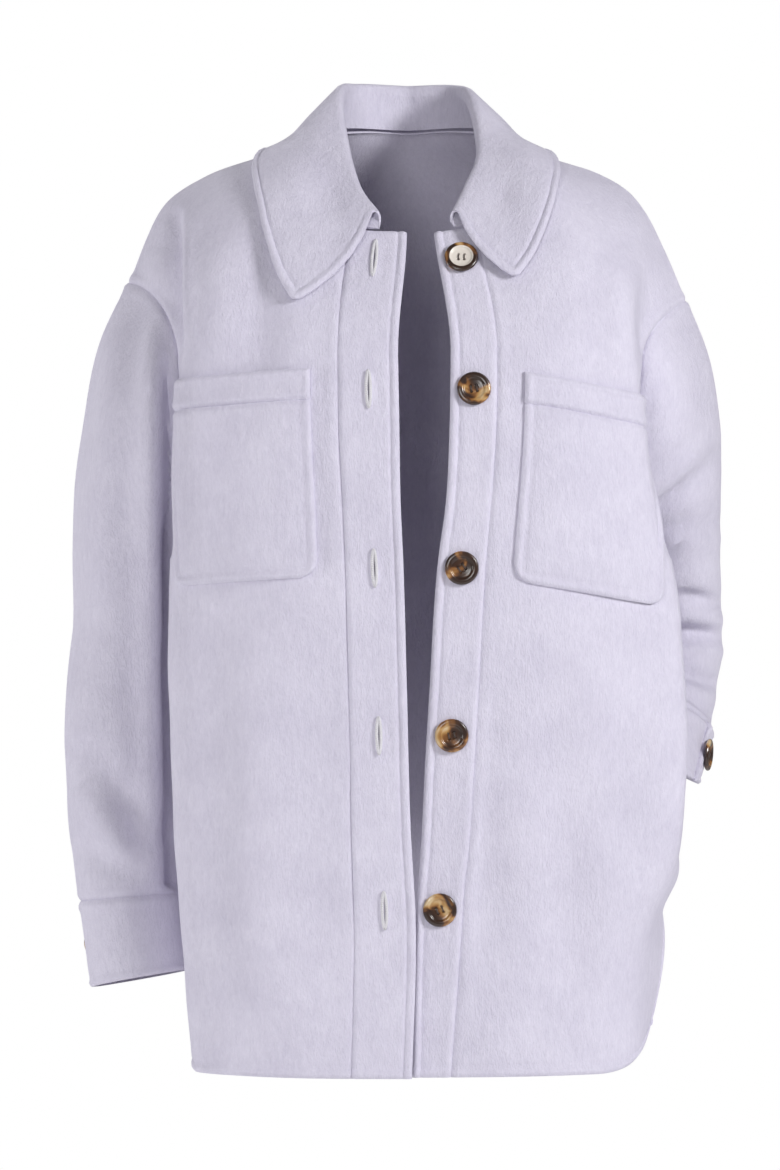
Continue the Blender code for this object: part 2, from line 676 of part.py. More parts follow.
def collar_half(side, shares):
    """Stand and leaf of half the collar: columns run from its end to the centre back."""
    rows = np.array(COLLAR[side], float)
    sign = SIDES[side]
    values = spline(rows[:, 0], rows[:, 1:] * MM, shares)
    roll = values[:, 0:3] * (sign, 1, -1)
    edge = values[:, 3:6] * (sign, 1, -1)
    bow = values[:, 6]
    seam = neck_point(side, shares) + (0, 0, NECK_CLEAR)
    span = edge - roll
    out = span * (1, 1, 0)
    out = out / np.linalg.norm(out, axis=1, keepdims=True)
    up = np.array([0, 0, 1.0])
    stand_top = roll - out * ROLL_RADIUS - up * (LEG_HEIGHT + ROLL_RADIUS)
    stand = [seam + (stand_top - seam) * t for t in (0, 0.5, 1)]
    leaf = [stand_top, roll - out * ROLL_RADIUS - up * ROLL_RADIUS]
    for turn in np.radians(ROLL_TURNS):
        centre = roll - up * ROLL_RADIUS
        leaf.append(centre + ROLL_RADIUS * (up * np.sin(turn) - out * np.cos(turn)))
    start = leaf[-1]
    side_way = np.cross(span, np.gradient(roll, axis=0))
    bulge = side_way / np.linalg.norm(side_way, axis=1, keepdims=True)
    bulge = bulge * np.sign(bulge[:, 2:3] + 1e-9)
    low = np.clip(-bow, 0, None)[:, None]
    high = np.clip(bow, 0, None)[:, None]
    in_plane = np.cross(bulge, span / np.linalg.norm(span, axis=1, keepdims=True))
    in_plane = in_plane * np.sign(-in_plane[:, 2:3])
    for t in np.linspace(0, 1, LEAF_ROWS + 1)[1:]:
        arch = 4 * t * (1 - t)
        leaf.append(start + (edge - start) * t + arch * (high * bulge + low * in_plane))
    return np.stack(stand), np.stack(leaf)


def whole_collar():
    ease = np.linspace(0, 1, 14)
    shares = 0.35 * ease ** 1.6 + 0.65 * ease
    stand_r, leaf_r = collar_half("right", shares)
    stand_l, leaf_l = collar_half("left", shares)
    stand = np.concatenate([stand_r, stand_l[:, -2::-1]], axis=1)
    leaf = np.concatenate([leaf_r, leaf_l[:, -2::-1]], axis=1)
    for corner in (0, -1):
        step = 1 if corner == 0 else -2
        tip = leaf[-1, corner]
        up_way = CORNER_TRIM[0] * (leaf[-2, corner] - tip)
        leaf[-1, corner] = tip + up_way + CORNER_TRIM[1] * (leaf[-1, step] - tip)
    turned = len(ROLL_TURNS) + 2
    leaf[turned:] = rest_on(leaf[turned:], body_cloud(), LEAF_CLEAR)
    return stand, leaf


def share_normals(pieces):
    """Gives points that several pieces share one common normal."""
    points = np.concatenate([p["grid"].reshape(-1, 3) for p in pieces])
    keys = np.round(points / KEY + KEY_SHIFT).astype(int)
    normals = np.concatenate([p["normal"].reshape(-1, 3) for p in pieces])
    _, index = np.unique(keys, axis=0, return_inverse=True)
    index = index.ravel()
    total = np.zeros((index.max() + 1, 3))
    np.add.at(total, index, normals)
    shared = total[index]
    shared = shared / np.linalg.norm(shared, axis=1, keepdims=True)
    start = 0
    for piece in pieces:
        size = piece["grid"].size // 3
        piece["normal"] = shared[start:start + size].reshape(piece["grid"].shape)
        start += size


def open_seams(piece):
    """Draws each sewn edge back by half the seam gap, square to the seam and to its normal."""
    grid = piece["grid"]
    moved = grid.copy()
    for axis, row, inner, share in piece["seams"]:
        edge = np.take(grid, row, axis=axis)
        normal = np.take(piece["normal"], row, axis=axis)
        along = np.gradient(edge, axis=0)
        square = np.cross(normal, along)
        square = square / np.linalg.norm(square, axis=-1, keepdims=True)
        way = np.take(grid, inner, axis=axis) - edge
        way = square * np.sign((way * square).sum(axis=-1, keepdims=True))
        index = (slice(None),) * axis + (row,)
        moved[index] += way * SEAM * share
    piece["grid"] = moved


def shell(name, grid, normal, wall, colour, skip=None, ring=False, flip=False):
    """Closed wall from a grid of outer points, its inside moved in by the wall."""
    rows, cols = grid.shape[:2]
    outer = grid.reshape(-1, 3)
    inner = (grid - normal * wall).reshape(-1, 3)
    count = rows * cols
    faces = []
    edges = {}
    last = cols if ring else cols - 1
    for i in range(rows - 1):
        for j in range(last):
            if skip is not None and skip[i, j]:
                continue
            k = (j + 1) % cols
            quad = (i * cols + j, (i + 1) * cols + j, (i + 1) * cols + k, i * cols + k)
            if flip:
                quad = quad[::-1]
            faces.append(quad)
            faces.append(tuple(v + count for v in reversed(quad)))
            for a, b in zip(quad, quad[1:] + quad[:1]):
                if (b, a) in edges:
                    del edges[(b, a)]
                else:
                    edges[(a, b)] = True
    for a, b in edges:
        faces.append((b, a, a + count, b + count))
    mesh = bpy.data.meshes.new(name)
    vertices = np.concatenate([outer, inner])
    used = sorted({v for face in faces for v in face})
    renumber = {v: n for n, v in enumerate(used)}
    mesh.from_pydata(vertices[used].tolist(), [], [[renumber[v] for v in face] for face in faces])
    mesh.shade_smooth()
    mesh.set_sharp_from_angle(angle=np.radians(40))
    mesh.materials.append(material(name + "_cloth", colour, 0.9))
    piece = bpy.data.objects.new(name, mesh)
    bpy.context.scene.collection.objects.link(piece)
    return piece


def material(name, colour, roughness):
    made = bpy.data.materials.new(name)
    made.use_nodes = True
    surface = made.node_tree.nodes["Principled BSDF"]
    surface.inputs["Base Color"].default_value = colour
    surface.inputs["Roughness"].default_value = roughness
    surface.inputs["Metallic"].default_value = 0.0
    return made


def button(name, centre, normal):
    """Turned button with a raised rim and a dished middle, its back to the cloth."""
    normal = normal / np.linalg.norm(normal)
    side_way = np.cross((0, 0, 1.0), normal)
    side_way = side_way / np.linalg.norm(side_way)
    up_way = np.cross(normal, side_way)
    angle = np.linspace(0, 2 * np.pi, BUTTON_TURNS, endpoint=False)
    points = []
    round_way = np.cos(angle)[:, None] * side_way + np.sin(angle)[:, None] * up_way
    for radius, height in BUTTON_PROFILE:
        points.append(centre + normal * (SEAM + BUTTON_THICK * height) + BUTTON_RADIUS * radius * round_way)
    vertices = np.concatenate(points)
    turns = BUTTON_TURNS
    faces = [tuple(range(turns))]
    for ring in range(len(points) - 1):
        for j in range(turns):
            k = (j + 1) % turns
            a = ring * turns
            faces.append((a + j, a + turns + j, a + turns + k, a + k))
    base = (len(points) - 1) * turns
    faces.append(tuple(base + j for j in reversed(range(turns))))
    mesh = bpy.data.meshes.new(name)
    mesh.from_pydata(vertices.tolist(), [], faces)
    mesh.shade_smooth()
    mesh.set_sharp_from_angle(angle=np.radians(40))
    mesh.materials.append(material(name + "_horn", HORN, 0.3))
    piece = bpy.data.objects.new(name, mesh)
    bpy.context.scene.collection.objects.link(piece)


def cloth(name, grid, turn, seams=(), ring=False, wall=WALL, skip=None):
    """A piece of cloth: 'turn' is 1 where down times across points outward, or else -1."""
    return {"name": name, "grid": grid, "turn": turn, "normal": turn * grid_normals(grid, ring),
            "seams": seams, "ring": ring, "wall": wall, "skip": skip}


def make(piece):
    open_seams(piece)
    shell(piece["name"], piece["grid"], piece["normal"], piece["wall"], LILAC,
          skip=piece["skip"], ring=piece["ring"], flip=piece["turn"] < 0)


def build_body():
    """Back, fronts and sleeves, which share their seams' points and normals."""
    front = {side: front_grid(side) for side in SIDES}
    back = back_grid()
    panel_seams = ((1, 0, 1, SEAM_SHARE), (1, -1, -2, SEAM_SHARE), (0, 0, 1, SEAM_SHARE))
    sleeve_seams = ((0, 0, 1, ARMHOLE_SHARE), (0, -1, -2, SEAM_SHARE))
    pieces = [cloth("back", back, -1, panel_seams)]
    for side, sign in SIDES.items():
        pieces.append(cloth("front_" + side, front[side], sign, panel_seams))
        loop = armhole_loop(side, front[side], back)
        pieces.append(cloth("sleeve_" + side, sleeve_grid(side, loop), -sign, sleeve_seams, ring=True))
    share_normals(pieces)
    for side, sign in SIDES.items():
        panel = next(piece for piece in pieces if piece["name"] == "front_" + side)
        pieces.append(placket(side, sign, panel))
    for piece in pieces:
        make(piece)


def placket(side, sign, panel):
    """Placket strip, raised a little, which shares its seam's normals with the front."""
    levels, holes = placket_rows(side)
    grid, skip = placket_grid(side, levels, holes, panel["grid"])
    strip = cloth("placket_" + side, grid, sign, ((1, -1, -2, SEAM_SHARE),),
                  wall=WALL + PLACKET_RISE, skip=skip)
    rows = body_levels(np.array([0.0]))[:, 0]
    own = panel["normal"][:, 0]
    seam = np.stack([np.interp(levels, rows, own[:, axis]) for axis in range(3)], axis=-1)
    mean = strip["normal"][:, -1] + seam
    mean = mean / np.linalg.norm(mean, axis=1, keepdims=True)
    strip["normal"][:, -1] = mean
    panel["normal"][:, 0] = np.stack([np.interp(rows, levels, mean[:, axis]) for axis in range(3)], axis=-1)
    strip["grid"] = grid + strip["normal"] * PLACKET_RISE
    return strip


def build_pockets():
    for side, sign in SIDES.items():
        bag = pocket_grid(side, BAND_HEIGHT, POCKET_HEIGHT, 8, WALL, True)
        make(cloth("pocket_" + side, bag, sign, ((0, 0, 1, SEAM_SHARE),)))
        band = pocket_grid(side, 0.0, BAND_HEIGHT, 2, WALL + PLACKET_RISE, False)
        make(cloth("pocket_band_" + side, band, sign, ((0, -1, -2, SEAM_SHARE),),
                   wall=WALL + PLACKET_RISE))


def build_collar():
    stand, leaf = whole_collar()
    pieces = [cloth("collar_stand", stand, -1, ((0, -1, -2, SEAM_SHARE),)),
              cloth("collar", leaf, -1, ((0, 0, 1, SEAM_SHARE),))]
    share_normals(pieces)
    for piece in pieces:
        make(piece)


def build_cuffs():
    for side, sign in SIDES.items():
        make(cloth("cuff_" + side, cuff_grid(side), -sign, ((0, 0, 1, SEAM_SHARE),)))
        reach = sleeve_stations(side, [0.0])[1]
        share = (1 + reach[-2] / reach[-1]) / 2
        rows = sleeve_stations(side, [share - 0.02, share, share + 0.02])[0]
        patch = ring_points(side, rows, CUFF_BUTTON_ANGLE[side] + np.array([-6.0, 0.0, 6.0]))
        normal = -sign * grid_normals(patch)[1, 1]
        button("button_cuff_" + side, patch[1, 1] + normal * (CUFF_RISE + SEAM), normal)


def build_front_buttons():
    probe = np.linspace(0, 1, 60)
    drops = -front_point("left", -0.5, probe)[:, 2]
    for number, drop in enumerate(BUTTON_DROPS, start=1):
        level = np.interp(drop, drops, probe) if drop < CHEST else 1 + drop - CHEST
        spot = np.array([-0.5])
        height = np.array([level])
        seat = front_point("left", spot, height)[0]
        normal = surface_normals(partial(front_point, "left"), spot, height)[0]
        button(f"button_{number}", seat + normal * (PLACKET_RISE + SEAM), normal)


for item in list(bpy.data.objects):
    bpy.data.objects.remove(item, do_unlink=True)

build_body()
build_pockets()
build_collar()
build_cuffs()
build_front_buttons()
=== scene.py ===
"""Looks of a lilac double-faced wool shirt jacket, worn open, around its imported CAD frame.

Metres, +Z up.  The wearer's front faces -Y and the wearer's right is -X.  Every piece of cloth is
a thin shell over its CAD node's form, with its seams, stitched edges and creases pressed in.
"""

from functools import partial

import bpy
import numpy as np
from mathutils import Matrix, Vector


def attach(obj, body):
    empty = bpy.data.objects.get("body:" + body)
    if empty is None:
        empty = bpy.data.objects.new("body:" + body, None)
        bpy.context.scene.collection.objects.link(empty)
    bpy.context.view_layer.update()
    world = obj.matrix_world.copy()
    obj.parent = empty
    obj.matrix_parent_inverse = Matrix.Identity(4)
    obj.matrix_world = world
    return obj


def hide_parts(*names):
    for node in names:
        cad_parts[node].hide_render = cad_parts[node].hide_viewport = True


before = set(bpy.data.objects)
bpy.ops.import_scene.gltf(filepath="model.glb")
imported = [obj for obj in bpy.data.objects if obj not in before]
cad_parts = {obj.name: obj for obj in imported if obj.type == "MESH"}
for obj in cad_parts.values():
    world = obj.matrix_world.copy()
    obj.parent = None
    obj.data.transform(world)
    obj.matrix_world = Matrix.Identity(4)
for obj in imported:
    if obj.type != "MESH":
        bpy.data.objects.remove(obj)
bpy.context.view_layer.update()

# Wool cloth
# Double-faced wool coating, brushed so that a soft lilac nap hides the weave.
# It is cut raw, folded to the inside and sewn, so edges and seams are soft, thick lips.
LILAC_PALE = (0.735, 0.705, 0.825, 1.0)
LILAC_DEEP = (0.585, 0.555, 0.68, 1.0)
NAP_ROUGHNESS = 0.95
NAP_SHEEN = 0.35
NAP_TINT = (0.88, 0.86, 0.96, 1.0)
NAP_HEIGHT = 0.0013
FIBRE_SCALE = 820.0
STRAND_SCALE = 260.0
CLOUD_SCALE = 24.0
# The fibres are combed down the cloth, so their noise is stretched along Z
COMBED = (1.0, 1.0, 0.34)
# Sums of the three noises at which the cloth is darkest and palest
TONE_ENDS = (0.95, 2.05)


def node_of(tree, kind, **values):
    """Adds a shader node and sets its inputs by name."""
    made = tree.nodes.new(kind)
    for name, value in values.items():
        made.inputs[name.replace("_", " ")].default_value = value
    return made


def new_finish(name):
    """A new material, its node tree, its surface shader and its object coordinates."""
    made = bpy.data.materials.new(name)
    made.use_nodes = True
    tree = made.node_tree
    place = tree.nodes.new("ShaderNodeTexCoord").outputs["Object"]
    return made, tree, tree.nodes["Principled BSDF"], place


def blend(tree, first, second, factor):
    """Mix of two colours, each a value or another node's output."""
    made = tree.nodes.new("ShaderNodeMix")
    made.data_type = "RGBA"
    for name, value in (("A", first), ("B", second), ("Factor", factor)):
        if isinstance(value, tuple):
            made.inputs[name].default_value = value
        else:
            tree.links.new(value, made.inputs[name])
    return made.outputs["Result"]


def wool(name):
    """Brushed wool: mottled lilac, with fine fibres combed down the cloth and a fuzzy sheen."""
    made, tree, surface, place = new_finish(name)
    link = tree.links.new
    combed = node_of(tree, "ShaderNodeMapping", Scale=COMBED)
    link(place, combed.inputs["Vector"])
    fibres = node_of(tree, "ShaderNodeTexNoise", Scale=FIBRE_SCALE, Detail=3.0, Roughness=0.7)
    strands = node_of(tree, "ShaderNodeTexNoise", Scale=STRAND_SCALE, Detail=3.0, Roughness=0.6)
    clouds = node_of(tree, "ShaderNodeTexNoise", Scale=CLOUD_SCALE, Detail=3.0, Roughness=0.5)
    for noise in (fibres, strands):
        link(combed.outputs["Vector"], noise.inputs["Vector"])
    link(place, clouds.inputs["Vector"])
    nap = node_of(tree, "ShaderNodeMath")
    nap.operation = "ADD"
    link(fibres.outputs["Fac"], nap.inputs[0])
    link(strands.outputs["Fac"], nap.inputs[1])
    mottle = node_of(tree, "ShaderNodeMath")
    mottle.operation = "ADD"
    link(nap.outputs["Value"], mottle.inputs[0])
    link(clouds.outputs["Fac"], mottle.inputs[1])
    tone = node_of(tree, "ShaderNodeMapRange", From_Min=TONE_ENDS[0], From_Max=TONE_ENDS[1])
    link(mottle.outputs["Value"], tone.inputs["Value"])
    link(blend(tree, LILAC_DEEP, LILAC_PALE, tone.outputs["Result"]), surface.inputs["Base Color"])
    pile = node_of(tree, "ShaderNodeBump", Strength=0.7, Distance=NAP_HEIGHT)
    link(nap.outputs["Value"], pile.inputs["Height"])
    link(pile.outputs["Normal"], surface.inputs["Normal"])
    surface.inputs["Roughness"].default_value = NAP_ROUGHNESS
    surface.inputs["Sheen Weight"].default_value = NAP_SHEEN
    surface.inputs["Sheen Roughness"].default_value = 0.5
    surface.inputs["Sheen Tint"].default_value = NAP_TINT
    surface.inputs["Specular IOR Level"].default_value = 0.15
    return made


lilac_wool = wool("lilac_wool")

# Back and fronts
# The back is cut in one and the fronts in two, of the same wool, sewn at the shoulders
# and sides. They hang from the shoulders; the hem is curved as a shirt's tail is.
MM = 0.001
# Which way along X each of the wearer's sides lies
SIDES = {"right": -1.0, "left": 1.0}
WALL = 2.0 * MM
# Cells across the shoulder and the neck, and rows down each part of the body
SHOULDER_CELLS = 64
NECK_CELLS = 12
UPPER_ROWS = 24
ARM_ROWS = 30
LOWER_ROWS = 62
TAIL_ROWS = 26
# Drops below the neck seam at which the parts of the body start and end
CHEST = 185 * MM
UNDERARM = 345 * MM
TAIL_START = 635 * MM
HEM = 758 * MM
# Armhole's middle and its depth into the front and the back, then the shirt tail's corner
# and how far the left side pocket's mouth gapes
ARM_MID = 200 * MM
ARM_FRONT = 72 * MM
ARM_BACK = 75 * MM
TAIL_WIDTH = 105 * MM
MOUTH_TOP = 478 * MM
MOUTH_OUT = 42 * MM
MOUTH_FORWARD = 63 * MM
# Points nearer than this are one point of a seam; the shift keeps them off a rounding edge
KEY = 0.05 * MM
KEY_SHIFT = 0.27
# Placket edge ahead of its seam, and how full the chest is at a third and two thirds of its width
EDGE_AHEAD = 1 * MM
CHEST_SWELL = (0.91, 0.6)
# Back's control point between the fold and the middle: share of the width and of the depth
BACK_HALFWAY = (0.52, 0.85)

# Front sections: drop, then placket edge and seam (out), front depth,
# side fold (out, forward) and side edge (out, back)
FRONT = {
    "right": ((185, 8, 56, 131, 180, 92, 186, 10),
              (240, 7, 55, 138, 184, 90, 181, 14),
              (300, 6, 52, 141, 187, 88, 170, 18),
              (345, 4, 50, 141, 188, 86, 160, 22),
              (450, 1, 47, 139, 189, 84, 157, 26),
              (560, -2, 45, 136, 185, 84, 155, 26),
              (635, -6, 43, 135, 180, 86, 153, 24),
              (760, -3, 45, 135, 167, 90, 150, 20)),
    "left": ((185, 34, 71, 131, 185, 92, 190, 12),
             (240, 33, 70, 138, 187, 92, 184, 16),
             (300, 30, 66, 140, 197, 90, 172, 20),
             (345, 24, 62, 139, 209, 88, 158, 22),
             (450, 17, 56, 135, 221, 88, 146, 24),
             (520, 13, 52, 131, 223, 88, 147, 25),
             (580, 10, 48, 129, 216, 86, 185, 18),
             (605, 8, 45, 128, 206, 86, 204, 8),
             (635, 6, 43, 127, 190, 86, 210, -8),
             (760, 3, 34, 125, 176, 88, 206, -18)),
}

# Back sections: drop, then back fold (out, back) and back depth
BACK = {
    "right": ((185, 150, 118, 134),
              (345, 166, 96, 136),
              (450, 170, 98, 130),
              (635, 170, 96, 128),
              (760, 168, 92, 130)),
    "left": ((185, 150, 118, 134),
             (345, 150, 100, 136),
             (450, 146, 100, 130),
             (540, 150, 100, 128),
             (635, 176, 90, 128),
             (760, 158, 94, 130)),
}

# Top edge of a front at each of its lines: out, back, drop,
# then the way that the cloth leaves it: out, back, down
FRONT_TOP = {
    "right": ((1, -92, 82, 0.0, -0.5, 1.0),
              (46, -88, 77, 0.1, -0.5, 1.0),
              (59, -52, 38, 0.3, -0.9, 0.7),
              (70, 5, -8, 0.35, -1.0, 0.15),
              (166, 10, 27, 0.05, -1.1, 0.25),
              (232, 12, 115, -0.8, -1.0, 0.15)),
    "left": ((21, -92, 82, 0.1, -0.5, 1.0),
             (54, -88, 75, 0.15, -0.5, 1.0),
             (62, -52, 38, 0.35, -0.9, 0.7),
             (71, 5, -8, 0.35, -1.0, 0.15),
             (160, 10, 27, 0.05, -1.1, 0.25),
             (231, 12, 130, -0.3, -1.0, 0.3)),
}
BACK_WAYS = ((-0.3, 1.0, 0.3), (0.05, 1.1, 0.25), (0.2, 1.0, 0.3))
BACK_NECK = (0, 60, -14, 0.0, 0.7, 0.8)

# Shoulder seam: out and drop
SHOULDER = {
    "right": ((70, -8), (120, 12), (166, 27), (196, 47), (216, 79), (232, 115)),
    "left": ((71, -8), (114, 12), (157, 25), (184, 40), (212, 84), (231, 130)),
}

# Shoulder seam's distance back, at the neck and at the armhole
SHOULDER_BACK = (5 * MM, 12 * MM)


def unit(vectors):
    """Vectors of length one along the same ways."""
    return vectors / np.linalg.norm(vectors, axis=-1, keepdims=True)


def spline(knots, values, x):
    """Cubic curve through the values at the knots, read at x."""
    knots = np.asarray(knots, float)
    values = np.asarray(values, float)
    x = np.asarray(x, float)
    h = np.diff(knots)
    d = np.diff(values, axis=0) / h[:, None]
    m = np.empty_like(values)
    m[0] = d[0]
    m[-1] = d[-1]
    m[1:-1] = (d[:-1] * h[1:, None] + d[1:] * h[:-1, None]) / (h[1:] + h[:-1])[:, None]
    i = np.clip(np.searchsorted(knots, x, side="right") - 1, 0, len(knots) - 2)
    w = ((x - knots[i]) / h[i])[..., None]
    step = h[i][..., None]
    return hermite(values[i], values[i + 1], m[i] * step, m[i + 1] * step, w)


def hermite(p0, p1, t0, t1, w):
    """Cubic from p0 to p1 that leaves along t0 and arrives along t1."""
    a = 2 * w ** 3 - 3 * w ** 2 + 1
    b = w ** 3 - 2 * w ** 2 + w
    return a * p0 + b * t0 + (1 - a) * p1 + (w ** 3 - w ** 2) * t1


def knots_of(points):
    """Share of the length at each control point of a row of points."""
    gaps = np.linalg.norm(np.diff(points, axis=0), axis=-1)
    total = np.cumsum(gaps, axis=0)
    start = np.zeros_like(total[:1])
    return np.concatenate([start, total]) / total[-1]


def across(points, t):
    """Smooth curve through control points; t is the share of its length."""
    knots = knots_of(points)
    h = np.diff(knots, axis=0)[..., None]
    d = np.diff(points, axis=0) / h
    inner = (d[:-1] * h[1:] + d[1:] * h[:-1]) / (h[1:] + h[:-1])
    m = np.concatenate([d[:1], inner, d[-1:]])
    i = (t[None] >= knots[1:-1]).sum(axis=0)[None]

    def pick(values, index):
        return np.take_along_axis(values, index[..., None], axis=0)[0]

    k0 = np.take_along_axis(knots, i, axis=0)[0]
    step = pick(h, i)
    w = (t - k0)[..., None] / step
    start_way = pick(m, i) * step
    end_way = pick(m, i + 1) * step
    return hermite(pick(points, i), pick(points, i + 1), start_way, end_way, w)


def armhole(drop):
    """Opening of the armhole at a height: 1 at its middle, round at the underarm."""
    x = (drop - ARM_MID) / (UNDERARM - ARM_MID)
    return np.sqrt(np.clip(1 - x ** 2, 0, 1))


def mouth(side, drop):
    """Shares by which the side pocket's mouth gapes out and forward, on the left only."""
    x = np.clip((drop - MOUTH_TOP) / (TAIL_START - MOUTH_TOP), 0, 1)
    gape = np.sin(np.pi * x) * (side == "left")
    return gape ** 1.6, gape ** 0.8


def stack(side, xs, ys, drop):
    """Control points from distances out, back and down."""
    sign = SIDES[side]
    return np.stack([np.stack([sign * x, y + 0 * drop, -drop], axis=-1) for x, y in zip(xs, ys)])


def front_section(side, drop):
    """Control points of a front: edge, seam, two on the chest, fold and side edge."""
    rows = np.array(FRONT[side]) * MM
    edge, seam, depth, fold, ahead, out, back = np.moveaxis(spline(rows[:, 0], rows[:, 1:], drop), -1, 0)
    out_gape, ahead_gape = mouth(side, drop)
    third = (fold - seam) / 3
    swell = depth - ahead
    xs = [edge, seam, seam + third, seam + 2 * third, fold, out + MOUTH_OUT * out_gape]
    ys = [-depth - EDGE_AHEAD, -depth, -ahead - CHEST_SWELL[0] * swell, -ahead - CHEST_SWELL[1] * swell,
          -ahead, back - ARM_FRONT * armhole(drop) - MOUTH_FORWARD * ahead_gape]
    return stack(side, xs, ys, drop)


def back_half(side, drop):
    """Control points of half the back: side edge, back fold and mid back."""
    rows = np.array(FRONT[side]) * MM
    edge = spline(rows[:, 0], rows[:, 6:8], drop)
    folds = np.array(BACK[side]) * MM
    fold = spline(folds[:, 0], folds[:, 1:], drop)
    xs = [edge[..., 0], fold[..., 0], BACK_HALFWAY[0] * fold[..., 0]]
    rise = fold[..., 2] - fold[..., 1]
    ys = [edge[..., 1] + ARM_BACK * armhole(drop), fold[..., 1], fold[..., 1] + BACK_HALFWAY[1] * rise]
    return stack(side, xs, ys, drop), fold[..., 2]


def back_section(drop):
    """Control points of the back from the right side edge to the left one."""
    right, depth_right = back_half("right", drop)
    left, depth_left = back_half("left", drop)
    depth = (depth_right + depth_left) / 2
    centre = np.stack([0 * drop, depth, -drop], axis=-1)[None]
    return np.concatenate([right, centre, left[::-1]])


def lines(section, tops, ways, level):
    """Control points at a level: 0 to 1 runs from the top edge to the chest."""
    drop = CHEST + np.clip(level - 1, 0, None)
    low = section(drop)
    slope = (section(drop + 1 * MM) - low) / MM
    shape = (len(tops),) + (1,) * level.ndim + (3,)
    top = np.reshape(tops, shape)
    way = np.reshape(ways, shape)
    length = np.linalg.norm(low - top, axis=-1, keepdims=True)
    way = unit(way)
    w = np.clip(level, 0, 1)[None, ..., None]
    upper = hermite(top, low, way * length, slope * length, w)
    return np.where(level[None, ..., None] < 1, upper, low)


def front_lines(side, level):
    """A front's control points at a level, from its placket's edge to its side edge."""
    rows = np.array(FRONT_TOP[side]) * (SIDES[side], 1, -1, SIDES[side], 1, -1)
    return lines(lambda drop: front_section(side, drop), rows[:, :3] * MM, rows[:, 3:], level)


def back_lines(level):
    """The back's control points at a level, from its right side edge to its left one."""
    tops = []
    ways = []
    for side, sign in SIDES.items():
        rows = np.array(FRONT_TOP[side])[[5, 4, 3], :3] * (sign, 1, -1)
        turned = np.array(BACK_WAYS) * (sign, 1, -1)
        order = 1 if side == "right" else -1
        tops.append(rows[::order])
        ways.append(turned[::order])
    middle = np.array(BACK_NECK) * (1, 1, -1, 1, 1, -1)
    tops.insert(1, middle[None, :3])
    ways.insert(1, middle[None, 3:])
    return lines(back_section, np.concatenate(tops) * MM, np.concatenate(ways), level)


def shoulder(side, share):
    """Point on the shoulder seam, from the neck (0) to the armhole (1)."""
    rows = np.array(SHOULDER[side]) * MM
    reach = np.concatenate([[0], np.cumsum(np.hypot(*np.diff(rows, axis=0).T))])
    point = spline(reach / reach[-1], rows, share)
    back = SHOULDER_BACK[0] + (SHOULDER_BACK[1] - SHOULDER_BACK[0]) * share
    return np.stack([SIDES[side] * point[..., 0], back, -point[..., 1]], axis=-1)


def neck_share(side):
    """Share of a front panel's top edge, and of half the back's, that is neckline."""
    top = knots_of(front_lines(side, np.zeros(1)))[:, 0]
    back = knots_of(back_lines(np.zeros(1)))[:, 0]
    front = (top[3] - top[1]) / (1 - top[1])
    half = {"right": (back[3] - back[2]) / back[3],
            "left": (back[4] - back[3]) / (1 - back[3])}
    return front, half[side]


def front_point(side, u, level):
    """A front's surface: u is -1 at the placket's edge, 0 at its seam, 1 at the side."""
    u, level = np.broadcast_arrays(np.asarray(u, float), np.asarray(level, float))
    control = front_lines(side, level)
    seam = knots_of(control)[1]
    point = across(control, np.where(u < 0, seam * (1 + u), seam + (1 - seam) * u))
    top = front_lines(side, np.zeros_like(level))
    top_seam = knots_of(top)[1]
    on_top = across(top, np.where(u < 0, top_seam * (1 + u), top_seam + (1 - top_seam) * u))
    neck = neck_share(side)[0]
    share = np.clip((u - neck) / (1 - neck), 0, 1)
    shift = (shoulder(side, share) - on_top) * (u > neck)[..., None]
    return point + shift * (np.clip(1 - level, 0, 1) ** 2)[..., None]


def back_point(u, level):
    """The back's surface: u is -1 at the right side edge and 1 at the left one."""
    u, level = np.broadcast_arrays(np.asarray(u, float), np.asarray(level, float))

    def read(control):
        centre = knots_of(control)[3]
        return across(control, np.where(u < 0, centre * (1 + u), centre + (1 - centre) * u))

    point = read(back_lines(level))
    on_top = read(back_lines(np.zeros_like(level)))
    fade = (np.clip(1 - level, 0, 1) ** 2)[..., None]
    for side, sign in SIDES.items():
        neck = neck_share(side)[1]
        share = np.clip((sign * u - neck) / (1 - neck), 0, 1)
        point = point + (shoulder(side, share) - on_top) * (sign * u > neck)[..., None] * fade
    return point


def panel_width(side, level):
    """Length of a front panel from the placket seam to its side edge."""
    control = front_lines(side, level)
    gaps = np.linalg.norm(np.diff(control, axis=0), axis=-1)
    return gaps[1:].sum(axis=0)


def surface_normals(point, u, level, step=0.002):
    """Outward normals of a surface function at its own parameters."""
    along = point(u + step, level) - point(u - step, level)
    down = point(u, level + step) - point(u, level - step)
    return unit(np.cross(down, along))


def grid_normals(grid, ring=False):
    """Normals of a grid of points, from its neighbours."""
    down = np.gradient(grid, axis=0)
    if ring:
        turn = np.roll(grid, -1, axis=1) - np.roll(grid, 1, axis=1)
    else:
        turn = np.gradient(grid, axis=1)
    return unit(np.cross(down, turn))


def edge_rim(reach, *edges):
    """Distance from the nearest of the named edges."""
    return np.minimum.reduce([reach[edge] for edge in edges])


def sewn_share(grid):
    """1 down to the foot of a side seam, then 0 along the open tail."""
    rows = np.arange(grid.shape[0])[:, None]
    return soft_step((UPPER_ROWS + ARM_ROWS + LOWER_ROWS + 3 - rows) / 3)


def round_corner(p, q):
    """Bends the square's far corner into an arc; p and q run from 0 to 1."""
    return p * np.sqrt(1 - q ** 2 / 2), q * np.sqrt(1 - p ** 2 / 2)


def close_to_end(count, power=1.5):
    """Shares from 0 to 1 whose steps shorten towards 1."""
    return 1 - (1 - np.linspace(0, 1, count + 1)) ** power


